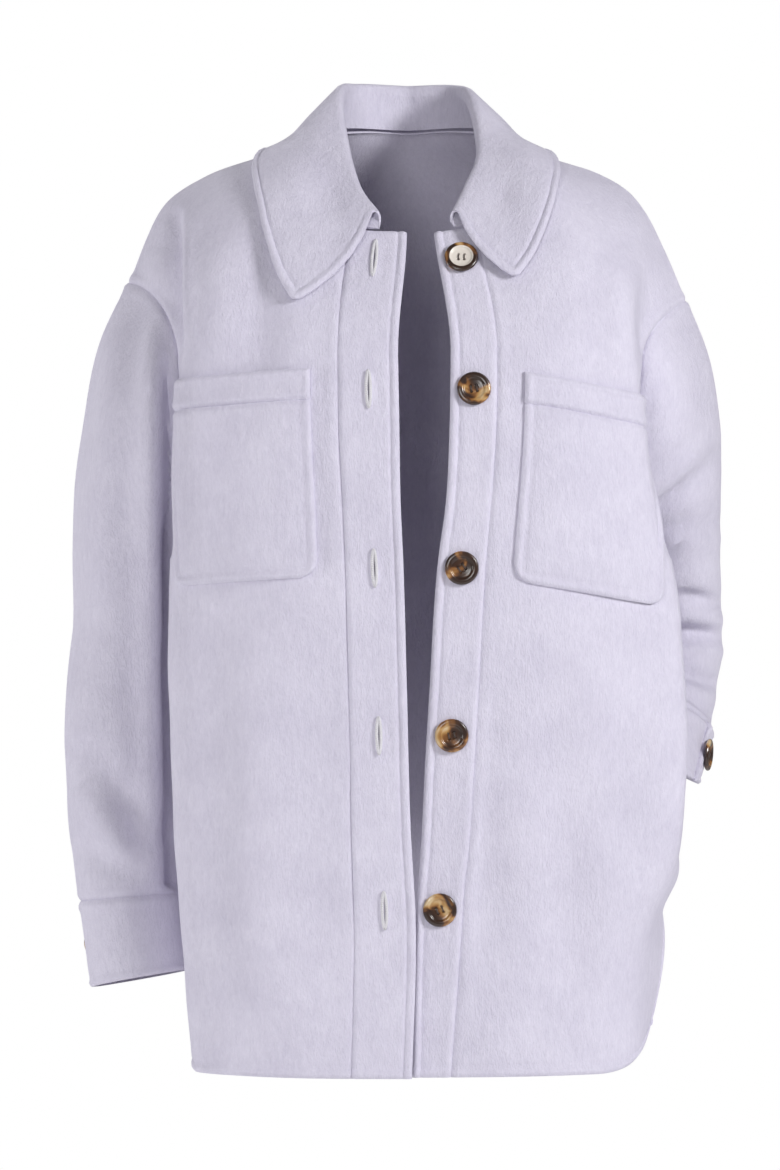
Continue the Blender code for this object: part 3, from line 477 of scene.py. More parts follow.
def body_levels(u):
    """Levels of the rows at each u: even in the middle, close together down the armhole."""
    upper = np.linspace(0, 1, UPPER_ROWS + 1)[:, None] ** 1.4 + 0 * u
    start = np.arcsin((CHEST - ARM_MID) / (UNDERARM - ARM_MID))
    turn = np.linspace(start, np.pi / 2, ARM_ROWS + 1)[1:, None]
    steep = ARM_MID + (UNDERARM - ARM_MID) * np.sin(turn)
    even = np.linspace(CHEST, UNDERARM, ARM_ROWS + 1)[1:, None]
    arm = steep * u ** 2 + even * (1 - u ** 2)
    lower = np.linspace(UNDERARM, TAIL_START, LOWER_ROWS + 1)[1:, None] + 0 * u
    tail = TAIL_START + (HEM - TAIL_START) * close_to_end(TAIL_ROWS)[1:, None] + 0 * u
    drops = np.concatenate([arm, lower, tail])
    return np.concatenate([upper, 1 + drops - CHEST])


def shirt_tail(u, level, width):
    """Rounds the hem's corner at the side edge of a panel of this width."""
    reach = TAIL_WIDTH / width
    height = HEM - TAIL_START
    drop = CHEST + level - 1
    p = np.clip(1 - (1 - u) / reach, 0, 1)
    q = np.clip(1 - (HEM - drop) / height, 0, 1)
    p_bent, q_bent = round_corner(p, q)
    inside = (p > 0) & (q > 0)
    u_new = np.where(inside, 1 - reach * (1 - p_bent), u)
    drop_new = np.where(inside, HEM - height * (1 - q_bent), drop)
    return u_new, 1 + drop_new - CHEST


def panel_columns(neck, cells):
    """Shares across a panel: even from 0, close at the neck's side and at the side edge."""
    inner = neck * np.linspace(0, 1, cells + 1) ** 1.4
    outer = neck + (1 - neck) * close_to_end(SHOULDER_CELLS)[1:]
    return np.concatenate([inner, outer])


def front_grid(side):
    """A front's points from its placket seam to its side edge, with a rounded tail."""
    u = panel_columns(neck_share(side)[0], NECK_CELLS)
    level = body_levels(u)
    width = panel_width(side, np.array([1 + HEM - CHEST]))[0]
    u, level = shirt_tail(u + 0 * level, level, width)
    return front_point(side, u, level)


def back_grid():
    """The back's points from its right side edge to its left one, with rounded tails."""
    halves = []
    for side, sign in SIDES.items():
        u = panel_columns(neck_share(side)[1], NECK_CELLS)
        level = body_levels(u)
        control = back_lines(np.array([1 + HEM - CHEST]))[:, 0]
        width = np.linalg.norm(np.diff(control, axis=0), axis=-1).sum() / 2
        u, level = shirt_tail(u + 0 * level, level, width)
        half = back_point(sign * u, level)
        halves.append(half[:, ::-1] if side == "right" else half[:, 1:])
    return np.concatenate(halves, axis=1)


def edge_distances(grid):
    """Distance of each point of a grid from its top, bottom, first and last edges, along the cloth."""
    down = np.linalg.norm(np.diff(grid, axis=0), axis=-1)
    along = np.linalg.norm(np.diff(grid, axis=1), axis=-1)
    top = np.concatenate([np.zeros((1, grid.shape[1])), np.cumsum(down, axis=0)])
    first = np.concatenate([np.zeros((grid.shape[0], 1)), np.cumsum(along, axis=1)], axis=1)
    return {"top": top, "bottom": top[-1:] - top, "first": first, "last": first[:, -1:] - first}


def soft_step(x):
    """Rises from 0 to 1 as x does, level at both ends."""
    x = np.clip(x, 0, 1)
    return x * x * (3 - 2 * x)


def seam_relief(distance, depth=1.0 * MM, lip=0.7 * MM):
    """Sewn seam: a narrow groove on the seam line and a low rounded lip beside it."""
    groove = np.exp(-(distance / (1.6 * MM)) ** 2)
    rise = np.exp(-((distance - 5 * MM) / (3.2 * MM)) ** 2)
    return -depth * groove + lip * rise


def stitched_edge(distance, margin=7 * MM, depth=1.0 * MM):
    """Finished edge: rounded over, a plump lip, and the dip of the hidden stitches behind it."""
    rounded = -1.1 * MM * np.exp(-(distance / (1.1 * MM)) ** 2)
    lip = 0.8 * MM * np.exp(-((distance - 3.6 * MM) / (2.4 * MM)) ** 2)
    dip = -depth * np.exp(-((distance - margin) / (1.3 * MM)) ** 2)
    return rounded + lip + dip


def creases(grid, normal, table):
    """Soft troughs and ridges, each along a bent line seen from the front or the back.

    A row of the table is: facing (-1 front, 1 back), width, height (a trough is below 0), and
    the line's points as out and drop, all in millimetres.  The height fades towards both ends.
    """
    total = np.zeros(grid.shape[:2])
    across_way = grid[..., 0] / MM
    drop = -grid[..., 2] / MM
    for facing, width, height, path in table:
        points = np.array(path, float)
        lengths = np.hypot(*np.diff(points, axis=0).T)
        reach = np.concatenate([[0], np.cumsum(lengths)])
        near = np.full(grid.shape[:2], 1e9)
        share = np.zeros(grid.shape[:2])
        for (x0, y0), (x1, y1), start, length in zip(points[:-1], points[1:], reach, lengths):
            t = ((across_way - x0) * (x1 - x0) + (drop - y0) * (y1 - y0)) / length ** 2
            t = np.clip(t, 0, 1)
            gap = np.hypot(across_way - x0 - t * (x1 - x0), drop - y0 - t * (y1 - y0))
            share = np.where(gap < near, (start + t * length) / reach[-1], share)
            near = np.minimum(near, gap)
        fade = np.clip(np.sin(np.pi * share), 0, 1) ** 0.6
        facing_way = soft_step(facing * normal[..., 1] * 2.5 + 0.3)
        total += height * MM * np.exp(-(near / width) ** 2) * fade * facing_way
    return total


def unevenness(grid, height=0.9 * MM):
    """Low, slow waves that leave no cloth perfectly even."""
    x, y, z = np.moveaxis(grid, -1, 0)
    wave = np.sin(41 * x + 17 * z + 1.3) * np.sin(23 * z - 9 * y + 0.4)
    small = np.sin(88 * x - 31 * z + 2.1) * np.sin(57 * z + 40 * y + 0.9)
    return height * (wave + 0.45 * small)


def cloth(name, grid, turn, ring=False, wall=WALL, skip=None):
    """A piece of cloth: 'turn' is 1 where down times across points outward, or else -1."""
    return {"name": name, "grid": grid, "turn": turn, "normal": turn * grid_normals(grid, ring),
            "ring": ring, "wall": wall, "skip": skip}


def share_normals(pieces):
    """Gives points that several pieces share one common normal."""
    points = np.concatenate([p["grid"].reshape(-1, 3) for p in pieces])
    keys = np.round(points / KEY + KEY_SHIFT).astype(int)
    normals = np.concatenate([p["normal"].reshape(-1, 3) for p in pieces])
    _, index = np.unique(keys, axis=0, return_inverse=True)
    index = index.ravel()
    total = np.zeros((index.max() + 1, 3))
    np.add.at(total, index, normals)
    shared = unit(total[index])
    start = 0
    for piece in pieces:
        size = piece["grid"].size // 3
        piece["normal"] = shared[start:start + size].reshape(piece["grid"].shape)
        start += size


def grid_quads(rows, cols, ring, closed=False):
    """Four-sided cells of a grid; a ring joins its last column to its first, closed its rows."""
    index = np.arange(rows * cols).reshape(rows, cols)
    if ring:
        index = np.concatenate([index, index[:, :1]], axis=1)
    if closed:
        index = np.concatenate([index, index[:1]], axis=0)
    return np.stack([index[:-1, :-1], index[1:, :-1], index[1:, 1:], index[:-1, 1:]], axis=-1)


def smooth_mesh(name, points, faces, sharp=None):
    """Mesh with smooth shading, apart from edges past a sharp angle in degrees."""
    mesh = bpy.data.meshes.new(name)
    mesh.from_pydata(points.reshape(-1, 3).tolist(), [], faces)
    mesh.shade_smooth()
    if sharp is not None:
        mesh.set_sharp_from_angle(angle=np.radians(sharp))
    return mesh


def shell_mesh(name, outer, inner, ring, skip, flip):
    """Closed wall between two grids of points, joined round every open edge."""
    rows, cols = outer.shape[:2]
    count = rows * cols
    quads = grid_quads(rows, cols, ring)
    keep = np.ones(quads.shape[:2], bool) if skip is None else ~skip
    quads = quads[keep]
    if flip:
        quads = quads[:, ::-1]
    sides = np.stack([quads, np.roll(quads, -1, axis=1)], axis=-1).reshape(-1, 2)
    code = sides[:, 0].astype(np.int64) * count + sides[:, 1]
    back_code = sides[:, 1].astype(np.int64) * count + sides[:, 0]
    open_sides = sides[~np.isin(code, back_code)]
    rim = np.concatenate([open_sides[:, ::-1], open_sides + count], axis=1)
    faces = np.concatenate([quads, quads[:, ::-1] + count, rim])
    points = np.concatenate([outer.reshape(-1, 3), inner.reshape(-1, 3)])
    used, renumbered = np.unique(faces, return_inverse=True)
    return smooth_mesh(name, points[used], renumbered.reshape(faces.shape).tolist(), 50)


def put(name, mesh, finish, slot, *nodes):
    """Adds a finished piece that rides with the garment and stands for CAD nodes."""
    mesh.materials.append(finish)
    piece = bpy.data.objects.new(name, mesh)
    bpy.context.scene.collection.objects.link(piece)
    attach(piece, "root")
    if nodes:
        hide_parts(*nodes)
    return piece


def sew(piece, relief):
    """Presses the relief into a piece of cloth and gives it its wall."""
    outer = piece["grid"] + piece["normal"] * relief[..., None]
    inner = outer - piece["normal"] * piece["wall"]
    mesh = shell_mesh(piece["name"], outer, inner, piece["ring"], piece["skip"], piece["turn"] < 0)
    made = put(piece["name"] + "_cloth", mesh, lilac_wool, "wool", piece["name"])
    return made


FRONT_CREASES = {
    "right": ((-1, 6, -13, [(-190, 56), (-189, 80), (-188, 110), (-187, 145), (-187, 185)]),
              (-1, 10, 3, [(-205, 88), (-205, 105), (-204, 130)]),
              (-1, 9, 4, [(-180, 58), (-181, 90), (-181, 130), (-178, 178)]),
              (-1, 18, -7, [(-113, 80), (-119, 130), (-121, 195), (-116, 225)]),
              (-1, 18, 3.5, [(-150, 80), (-152, 140), (-150, 190)]),
              (-1, 24, -3.0, [(-70, 380), (-80, 520), (-74, 700)]),
              (-1, 26, 3.0, [(-118, 400), (-124, 560), (-116, 730)]),
              (-1, 18, -3.0, [(-160, 395), (-152, 520), (-158, 690)])),
    "left": ((-1, 10, -5, [(200, 105), (194, 150), (196, 200)]),
             (-1, 12, 3.0, [(172, 90), (170, 140), (172, 180)]),
             (-1, 22, -3.0, [(112, 395), (124, 520), (128, 700)]),
             (-1, 20, -4.0, [(215, 395), (190, 450), (160, 520)]),
             (-1, 24, 3.5, [(170, 560), (160, 640), (150, 740)]),
             (-1, 18, -3.0, [(60, 420), (66, 560), (62, 720)])),
}
BACK_CREASES = (
    (1, 20, -7, [(-150, 90), (-158, 200), (-150, 340)]),
    (1, 20, -7, [(148, 100), (160, 210), (150, 350)]),
    (1, 30, 5, [(-60, 330), (-66, 520), (-58, 730)]),
    (1, 34, -5, [(20, 300), (12, 520), (24, 740)]),
    (1, 28, 5, [(86, 350), (92, 540), (84, 730)]),
    (1, 16, -5, [(-170, 350), (-120, 420), (-60, 460)]),
    (1, 16, -5, [(172, 370), (118, 430), (70, 470)]),
    (1, 18, -4, [(-120, 60), (-70, 110), (-20, 130)]))

# Sleeves
# Each sleeve is one piece of the same wool, sewn into the dropped armhole and to its cuff.
# The right one hangs; the left one is bent at the elbow, with creases in the bend.
CAP_RINGS = 26
SLEEVE_RINGS = 120
CUFF_LAP = 24.0
CUFF_RISE = 3.0 * MM
CUFF_BUTTON_ANGLE = {"right": 318.0, "left": 14.0}
# Sleeve stations: centre (out, back, drop), half width across, half width along,
# pitch (0 hangs down, 90 points forward), roll, all in degrees
SLEEVE = {
    "right": ((230, 36, 400, 49, 59, 0, 0),
              (235, 36, 480, 50, 57, 0, 0),
              (235, 32, 555, 47, 53, 2, 2),
              (230, 26, 625, 42, 46, 4, 5),
              (222, 20, 692, 41, 42, 6, 10)),
    "left": ((218, 98, 345, 47, 54, -24, 0),
             (222, 124, 388, 47, 54, -8, 0),
             (223, 130, 420, 47, 52, 8, 3),
             (220, 112, 448, 46, 50, 20, 10),
             (213, 80, 474, 45, 47, 20, 20),
             (202, 34, 508, 44, 45, 4, 30)),
}
# Way that the cap leaves the armhole: a part that is constant, a part that turns with the
# angle round the armhole, and, backward, a part that follows the upper arm's pitch
CAP_OUTWARD = (0.75, -0.3)
CAP_BACKWARD = (-0.3, -0.9)
CAP_UPWARD = (-0.48, -0.32)


def ring_points(side, station, angle):
    """Ring of a sleeve at a station row, at angles in degrees."""
    out, back, drop, wide, deep, pitch, roll = np.moveaxis(station, -1, 0)[..., None]
    a = np.radians(angle)
    sign = SIDES[side]
    p = np.radians(pitch)
    r = np.radians(roll)
    across_x = wide * np.cos(a) * np.cos(r)
    across_z = -wide * np.cos(a) * np.sin(r)
    x = sign * (out + across_x)
    y = back - deep * np.sin(a) * np.cos(p)
    z = -drop + deep * np.sin(a) * np.sin(p) + across_z
    return np.stack([x, y, z], axis=-1)


def sleeve_stations(side, share):
    """Station values at shares of the sleeve's length, in metres and degrees."""
    rows = np.array(SLEEVE[side], float) * ((MM,) * 5 + (1, 1))
    reach = np.concatenate([[0], np.cumsum(np.linalg.norm(np.diff(rows[:, :3], axis=0), axis=1))])
    return spline(reach / reach[-1], rows, np.asarray(share)), reach


def armhole_loop(side, front, back):
    """Armhole edge: top, down the front edge, underarm, up the back edge."""
    rows = UPPER_ROWS + ARM_ROWS
    back_column = 0 if side == "right" else -1
    ahead = front[:rows + 1, -1]
    behind = back[1:rows, back_column]
    return np.concatenate([ahead, behind[::-1]])


def sleeve_grid(side, loop):
    """Sleeve from the armhole's edge to the cuff: a cap that turns down, then a tube."""
    angles = np.linspace(0, 360, len(loop), endpoint=False)
    rows, reach = sleeve_stations(side, [0.0])
    first = ring_points(side, rows, angles)[0]
    pitch = np.radians(rows[0, 5])
    down = np.array([0, -np.sin(pitch), -np.cos(pitch)])
    a = np.radians(angles)[:, None]
    sign = SIDES[side]
    outward = sign * (CAP_OUTWARD[0] + CAP_OUTWARD[1] * np.cos(a))
    backward = CAP_BACKWARD[0] * np.sin(a) + CAP_BACKWARD[1] * np.sin(pitch)
    upward = CAP_UPWARD[0] + CAP_UPWARD[1] * np.cos(a)
    leave = unit(np.concatenate([outward, backward, upward], axis=1))
    length = np.linalg.norm(first - loop, axis=1, keepdims=True)
    w = (np.linspace(0, 1, CAP_RINGS + 1)[:-1, None, None]) ** 1.35
    cap = hermite(loop, first, leave * length, down * length, w)
    cuff_start = reach[-2] / reach[-1]
    shares = cuff_start * close_to_end(SLEEVE_RINGS, 1.2)
    tube = ring_points(side, sleeve_stations(side, shares)[0], angles)
    return np.concatenate([cap, tube])


SLEEVE_CREASES = {
    "right": ((-1, 8, -22, [(-187, 100), (-187, 150), (-188, 240), (-191, 330), (-192, 430),
                          (-190, 560), (-188, 690)]),
              (-1, 10, 9, [(-210, 150), (-208, 240), (-210, 330), (-212, 430), (-210, 540), (-206, 640)]),
              (-1, 12, -5, [(-219, 118), (-222, 170), (-232, 260), (-240, 340)]),
              (-1, 14, 4, [(-240, 150), (-250, 260), (-252, 380)]),
              (-1, 18, -8, [(-268, 490), (-242, 530), (-205, 585)]),
              (-1, 16, 5, [(-270, 530), (-240, 566), (-216, 615)]),
              (-1, 12, -5, [(-275, 575), (-250, 592), (-216, 602)]),
              (1, 20, -8, [(-200, 260), (-214, 360), (-216, 470)]),
              (1, 16, -7, [(-280, 500), (-240, 530), (-195, 545)]),
              (1, 14, 5, [(-280, 540), (-240, 562), (-200, 572)])),
    "left": ((-1, 6, -7, [(172, 328), (202, 306), (222, 292), (268, 248)]),
             (-1, 8, 4, [(180, 306), (212, 282), (256, 246)]),
             (-1, 5, -5, [(190, 322), (225, 317), (270, 314)]),
             (-1, 6, 3, [(194, 331), (225, 330), (266, 326)]),
             (-1, 6, -3.5, [(190, 343), (222, 341), (266, 334)]),
             (-1, 7, -7, [(200, 384), (232, 376), (278, 382)]),
             (-1, 7, 3, [(202, 396), (232, 392), (274, 396)]),
             (-1, 6, -7, [(200, 410), (234, 405), (280, 410)]),
             (-1, 7, 4, [(204, 422), (240, 420), (276, 424)]),
             (-1, 7, -9, [(204, 422), (232, 436), (280, 454)]),
             (-1, 6, -3.5, [(214, 446), (240, 460), (270, 486)]),
             (1, 12, -6, [(180, 330), (220, 350), (262, 345)]),
             (1, 12, 5, [(186, 365), (222, 384), (262, 378)]),
             (1, 12, -6, [(186, 400), (222, 418), (262, 408)]),
             (1, 16, -5, [(180, 250), (206, 280), (246, 290)])),
}


def build_body():
    """Back, fronts and sleeves, which share their seams' points and normals."""
    front = {side: front_grid(side) for side in SIDES}
    back = back_grid()
    pieces = {"back": cloth("back", back, -1)}
    for side, sign in SIDES.items():
        pieces["front_" + side] = cloth("front_" + side, front[side], sign)
        loop = armhole_loop(side, front[side], back)
        pieces["sleeve_" + side] = cloth("sleeve_" + side, sleeve_grid(side, loop), -sign, ring=True)
    share_normals(list(pieces.values()))
    return pieces


body = build_body()
for side in SIDES:
    panel = body["front_" + side]
    reach = edge_distances(panel["grid"])
    inside = soft_step(reach["last"] / (14 * MM)) * soft_step(reach["first"] / (10 * MM))
    sewn_rows = sewn_share(panel["grid"])
    relief = seam_relief(reach["first"]) + seam_relief(reach["top"])
    relief += seam_relief(reach["last"]) * sewn_rows + stitched_edge(reach["last"]) * (1 - sewn_rows)
    relief += stitched_edge(reach["bottom"], margin=8 * MM)
    relief += inside * (creases(panel["grid"], panel["normal"], FRONT_CREASES[side])
                        + unevenness(panel["grid"]))
    sew(panel, relief)

panel = body["back"]
reach = edge_distances(panel["grid"])
beside = edge_rim(reach, "first", "last")
sewn_rows = sewn_share(panel["grid"])
relief = seam_relief(reach["top"]) + seam_relief(beside) * sewn_rows
relief += stitched_edge(beside) * (1 - sewn_rows) + stitched_edge(reach["bottom"], margin=8 * MM)
relief += soft_step(beside / (14 * MM)) * (creases(panel["grid"], panel["normal"], BACK_CREASES)
                                           + unevenness(panel["grid"], 1.4 * MM))
sew(panel, relief)

for side in SIDES:
    arm = body["sleeve_" + side]
    reach = edge_distances(arm["grid"])
    inside = soft_step(reach["top"] / (16 * MM)) * soft_step(reach["bottom"] / (10 * MM))
    relief = seam_relief(reach["top"]) + seam_relief(reach["bottom"])
    relief += inside * (creases(arm["grid"], arm["normal"], SLEEVE_CREASES[side])
                        + unevenness(arm["grid"], 1.1 * MM))
    sew(arm, relief)

# Plackets
# A straight strip on each front edge, folded double and edge-stitched, so a little prouder
# than the front. The right one has five upright buttonholes worked in lilac thread.
PLACKET_RISE = 0.8 * MM
BUTTON_DROPS = (104 * MM, 210 * MM, 352 * MM, 485 * MM, 624 * MM)
HOLE_LENGTH = 27 * MM
HOLE_HALF = 0.45 * MM
# Rows along a buttonhole, as shares of half its length
HOLE_RIM_ROWS = (-1.0, -0.97, -0.88, -0.7, -0.4, 0.0, 0.4, 0.7, 0.88, 0.97, 1.0)
# Rows next to the placket's top and bottom edges, and the spacing of the rows between
TOP_ROWS = (0.003, 0.009, 0.016)
HEM_ROWS = (0.050, 0.035, 0.022, 0.013, 0.009, 0.007, 0.005, 0.0025, 0.001, 0.0)
ROW_STEP = 0.009
# Half the slit that parts the columns where there is no hole, and the least that opens it
SLIT = 0.08 * MM
OPEN_SLIT = 0.09 * MM
# Columns across a placket: from its free edge, beside a hole, and from its seam, in millimetres
EDGE_COLUMNS = (0, 0.5, 1.1, 2.0, 3.4, 5.0, 6.2, 7.0, 7.8, 9.2, 11.5)
LIP_COLUMNS = (0, 0.6, 1.4, 2.4, 4.0)
SEAM_COLUMNS = (10.0, 7.5, 5.5, 4.0, 2.6, 1.4, 0.6, 0.0)


def drop_to_level(side, drops):
    """Levels at which the middle of a placket has these drops."""
    probe = np.linspace(0, 1, 60)
    high = np.interp(drops, -front_point(side, -0.5, probe)[:, 2], probe)
    return np.where(drops < CHEST, high, 1 + drops - CHEST)


def placket_rows(side):
    """Levels of a placket's rows, close together at each buttonhole and at both ends."""
    end = 1 + HEM - CHEST
    marks = [*TOP_ROWS, *np.linspace(0, 1, 37), *np.arange(1.008, end - 0.055, ROW_STEP)]
    for drop in BUTTON_DROPS:
        marks.extend(drop_to_level(side, drop + 0.5 * HOLE_LENGTH * np.array(HOLE_RIM_ROWS)))
    marks.extend(end - np.array(HEM_ROWS))
    levels = np.unique(np.round(marks, 6))
    return levels[levels <= end + 1e-9]


def hole_half(side, levels):
    """Half width of the buttonhole at each level: a thin lens, and nearly nothing between holes."""
    half = np.full(levels.shape, SLIT)
    for drop in BUTTON_DROPS:
        middle, end = drop_to_level(side, drop + np.array([0, 0.5 * HOLE_LENGTH]))
        s = np.clip((levels - middle) / (end - middle), -1, 1)
        half = np.maximum(half, HOLE_HALF * np.sqrt(1 - s ** 2) ** 1.3)
    return half


def placket_width(side):
    """Distance from a placket's edge to its seam, at the chest."""
    row = front_point(side, np.array([-1.0, 0.0]), np.array([1.2, 1.2]))
    return np.linalg.norm(row[1] - row[0])


def placket_grid(side):
    """A placket's points from its free edge to its seam, parted along the buttonholes."""
    levels = placket_rows(side)
    width = placket_width(side)
    half = (hole_half(side, levels) / width)[:, None]
    lip = np.array(LIP_COLUMNS) * MM / width
    edge = np.array(EDGE_COLUMNS) * MM / width
    left = -0.5 - half - lip[::-1]
    right = -0.5 + half + lip
    outer = -1 + edge + 0 * half
    seam = -(np.array(SEAM_COLUMNS) * MM / width) + 0 * half
    between = (left[:, :1] + outer[:, -1:]) / 2
    beyond = (right[:, -1:] + seam[:, :1]) / 2
    u = np.concatenate([outer, between, left, right, beyond, seam], axis=1)
    skip = np.zeros((len(levels) - 1, u.shape[1] - 1), bool)
    if side == "right":
        opened = half[:, 0] > OPEN_SLIT / width
        skip[:, outer.shape[1] + left.shape[1]] = opened[1:] | opened[:-1]
    return front_point(side, u, levels[:, None] + 0 * u), skip, half[:, 0] * width


for side, sign in SIDES.items():
    grid, skip, half = placket_grid(side)
    strip = cloth("placket_" + side, grid, sign, wall=WALL + PLACKET_RISE, skip=skip)
    reach = edge_distances(grid)
    beside_hole = np.abs(reach["first"] - 0.5 * (reach["first"][:, -1:])) - half[:, None]
    holes = (half > OPEN_SLIT)[:, None] * (side == "right")
    relief = PLACKET_RISE + stitched_edge(reach["first"]) + stitched_edge(reach["bottom"], 8 * MM)
    relief += stitched_edge(reach["top"], 5 * MM) * 0.6
    relief += seam_relief(reach["last"], 1.2 * MM, 0.4 * MM)
    relief += holes * 0.9 * MM * np.exp(-((beside_hole - 1.2 * MM) / (1.4 * MM)) ** 2)
    relief += unevenness(grid, 0.5 * MM)
    sew(strip, relief)


def tube_mesh(name, path, normal, radius, sides=8, closed=False):
    """Round cord along a path: circles square to the path, joined, with closed or capped ends."""
    along = np.roll(path, -1, axis=0) - np.roll(path, 1, axis=0) if closed else np.gradient(path, axis=0)
    along = unit(along)
    side_way = unit(np.cross(along, normal))
    up_way = np.cross(side_way, along)
    turn = np.linspace(0, 2 * np.pi, sides, endpoint=False)[None, :, None]
    radius = np.broadcast_to(radius, (len(path),))[:, None, None]
    rings = path[:, None] + radius * (np.cos(turn) * side_way[:, None] + np.sin(turn) * up_way[:, None])
    count = len(path)
    faces = grid_quads(count, sides, True, closed)[..., [0, 3, 2, 1]].reshape(-1, 4).tolist()
    if not closed:
        faces.append(list(range(sides))[::-1])
        faces.append([(count - 1) * sides + j for j in range(sides)])
    return smooth_mesh(name, rings, faces)


def thread(name, colour):
    """Twisted thread: fine slanting plies, with shade painted into the grooves between them."""
    made, tree, surface, place = new_finish(name)
    plies = node_of(tree, "ShaderNodeTexWave", Scale=700.0, Distortion=1.5, Detail=1.0)
    plies.bands_direction = "Z"
    tree.links.new(place, plies.inputs["Vector"])
    # Painted shade: the grooves between the plies are darkened to 0.6 of the thread's colour, so the crowns
    # look lighter
    shadow = tuple(0.6 * c for c in colour[:3]) + (1.0,)
    tree.links.new(blend(tree, shadow, colour, plies.outputs["Fac"]), surface.inputs["Base Color"])
    ridge = node_of(tree, "ShaderNodeBump", Strength=0.6, Distance=0.0003)
    tree.links.new(plies.outputs["Fac"], ridge.inputs["Height"])
    tree.links.new(ridge.outputs["Normal"], surface.inputs["Normal"])
    surface.inputs["Roughness"].default_value = 0.7
    surface.inputs["Sheen Weight"].default_value = 0.2
    return made


lilac_thread = thread("lilac_thread", (0.95, 0.93, 0.98, 1.0))
STITCH_RADIUS = 1.35 * MM
STITCHES_ROUND = 48
for number, drop in enumerate(BUTTON_DROPS, start=1):
    turn = np.linspace(0, 2 * np.pi, 192, endpoint=False)
    around = drop + 0.5 * (HOLE_LENGTH + 1.6 * MM) * np.cos(turn)
    level = drop_to_level("right", around)
    width = placket_width("right")
    u = -0.5 + (HOLE_HALF + 1.2 * MM) * np.sin(turn) * np.abs(np.sin(turn)) ** 0.3 / width
    normal = -surface_normals(partial(front_point, "right"), u, level)
    path = front_point("right", u, level) + normal * (PLACKET_RISE + 1.0 * MM)
    stitch = (1 + 0.16 * np.cos(STITCHES_ROUND * turn)) * STITCH_RADIUS
    put(f"buttonhole_stitch_{number}", tube_mesh("buttonhole", path, normal, stitch, closed=True),
        lilac_thread, "wool")

# Chest pockets
# A patch pocket on each front with rounded lower corners, edge-stitched on three sides,
# and a turned-down band across its mouth, both of the same wool.
POCKET_WIDTH = 127 * MM
POCKET_HEIGHT = 166 * MM
POCKET_RADIUS = 15 * MM
# Clearance over the front at the pocket's inner and outer edges
POCKET_CLEAR = {"right": (0.7 * MM, 1.0 * MM), "left": (0.7 * MM, 2.1 * MM)}
BAND_HEIGHT = 25 * MM
POCKET_FROM_SEAM = 22 * MM
# Drop of the pocket's mouth at its inner and outer ends
POCKET_TOP = {"right": (193 * MM, 201 * MM), "left": (196 * MM, 217 * MM)}
POCKET_CELLS = 46


def both_ends(count, power=1.4):
    """Shares from 0 to 1 whose steps shorten towards both ends."""
    half = np.linspace(-1, 1, count + 1)
    return 0.5 + 0.5 * np.sign(half) * (1 - (1 - np.abs(half)) ** power)


def pocket_grid(side, start, end, rows, lift, rounded):
    """Patch on a front, between two heights down the pocket, moved out by its wall."""
    d = both_ends(POCKET_CELLS)[None, :] + np.zeros((rows + 1, 1))
    h = start + (end - start) * both_ends(rows)[:, None] + 0 * d
    if rounded:
        past = np.abs(d - 0.5) * POCKET_WIDTH - POCKET_WIDTH / 2 + POCKET_RADIUS
        p = np.clip(past / POCKET_RADIUS, 0, 1)
        q = np.clip((h - end + POCKET_RADIUS) / POCKET_RADIUS, 0, 1)
        p_bent, q_bent = round_corner(p, q)
        inside = (p > 0) & (q > 0)
        d = np.where(inside, d - np.sign(d - 0.5) * (p - p_bent) * POCKET_RADIUS / POCKET_WIDTH, d)
        h = np.where(inside, h - (q - q_bent) * POCKET_RADIUS, h)
    inner, outer = POCKET_TOP[side]
    drop = inner + (outer - inner) * d + h
    level = 1 + drop - CHEST
    u = (POCKET_FROM_SEAM + POCKET_WIDTH * d) / panel_width(side, level)
    point = front_point(side, u, level)
    normal = SIDES[side] * surface_normals(partial(front_point, side), u, level)
    near, far = POCKET_CLEAR[side]
    clear = near + (far - near) * d ** 2
    return point + normal * (clear[..., None] + lift)


for side, sign in SIDES.items():
    grid = pocket_grid(side, BAND_HEIGHT, POCKET_HEIGHT, 50, WALL, True)
    bag = cloth("pocket_" + side, grid, sign)
    reach = edge_distances(grid)
    rim = edge_rim(reach, "first", "last", "bottom")
    relief = stitched_edge(rim) + seam_relief(reach["top"], 1.3 * MM, 0.5 * MM)
    relief += 1.6 * MM * soft_step(rim / (32 * MM)) + unevenness(grid, 0.7 * MM)
    sew(bag, relief)
    grid = pocket_grid(side, 0.0, BAND_HEIGHT, 16, WALL + PLACKET_RISE, False)
    band = cloth("pocket_band_" + side, grid, sign, wall=WALL + PLACKET_RISE)
    reach = edge_distances(grid)
    rim = edge_rim(reach, "first", "last", "top")
    relief = stitched_edge(rim, depth=0.5 * MM) + seam_relief(reach["bottom"], 1.6 * MM, 0.8 * MM)
    relief += unevenness(grid, 0.5 * MM)
    sew(band, relief)

# Collar
# A pointed shirt collar: a narrow stand sewn into the neck and a leaf that rolls over it
# and lies on the shoulders, both of double wool, edge-stitched all round.
# Share of the neck seam, roll (out, back, drop), leaf edge (out, back, drop), bow
COLLAR = {
    "right": ((0.00, 26, -92, 64, 91, -118, 142, -11),
              (0.20, 40, -72, 43, 106, -105, 113, -3),
              (0.42, 51, -38, 4, 119, -78, 64, 3),
              (0.64, 56, 4, -45, 117, -8, 24, 3),
              (0.82, 41, 44, -53, 90, 66, 2, 3),
              (1.00, 0, 60, -53, 0, 98, 2, 3)),
    "left": ((0.00, 38, -92, 64, 87, -118, 120, -8),
             (0.20, 48, -72, 42, 104, -104, 94, -3),
             (0.42, 60, -42, 8, 119, -72, 50, 3),
             (0.64, 53, 4, -41, 114, -8, 23, 3),
             (0.82, 39, 44, -52, 88, 66, 2, 3),
             (1.00, 0, 60, -53, 0, 98, 2, 3)),
}
# Share of the placket's width, from its seam, at which the collar ends
COLLAR_START = 0.55
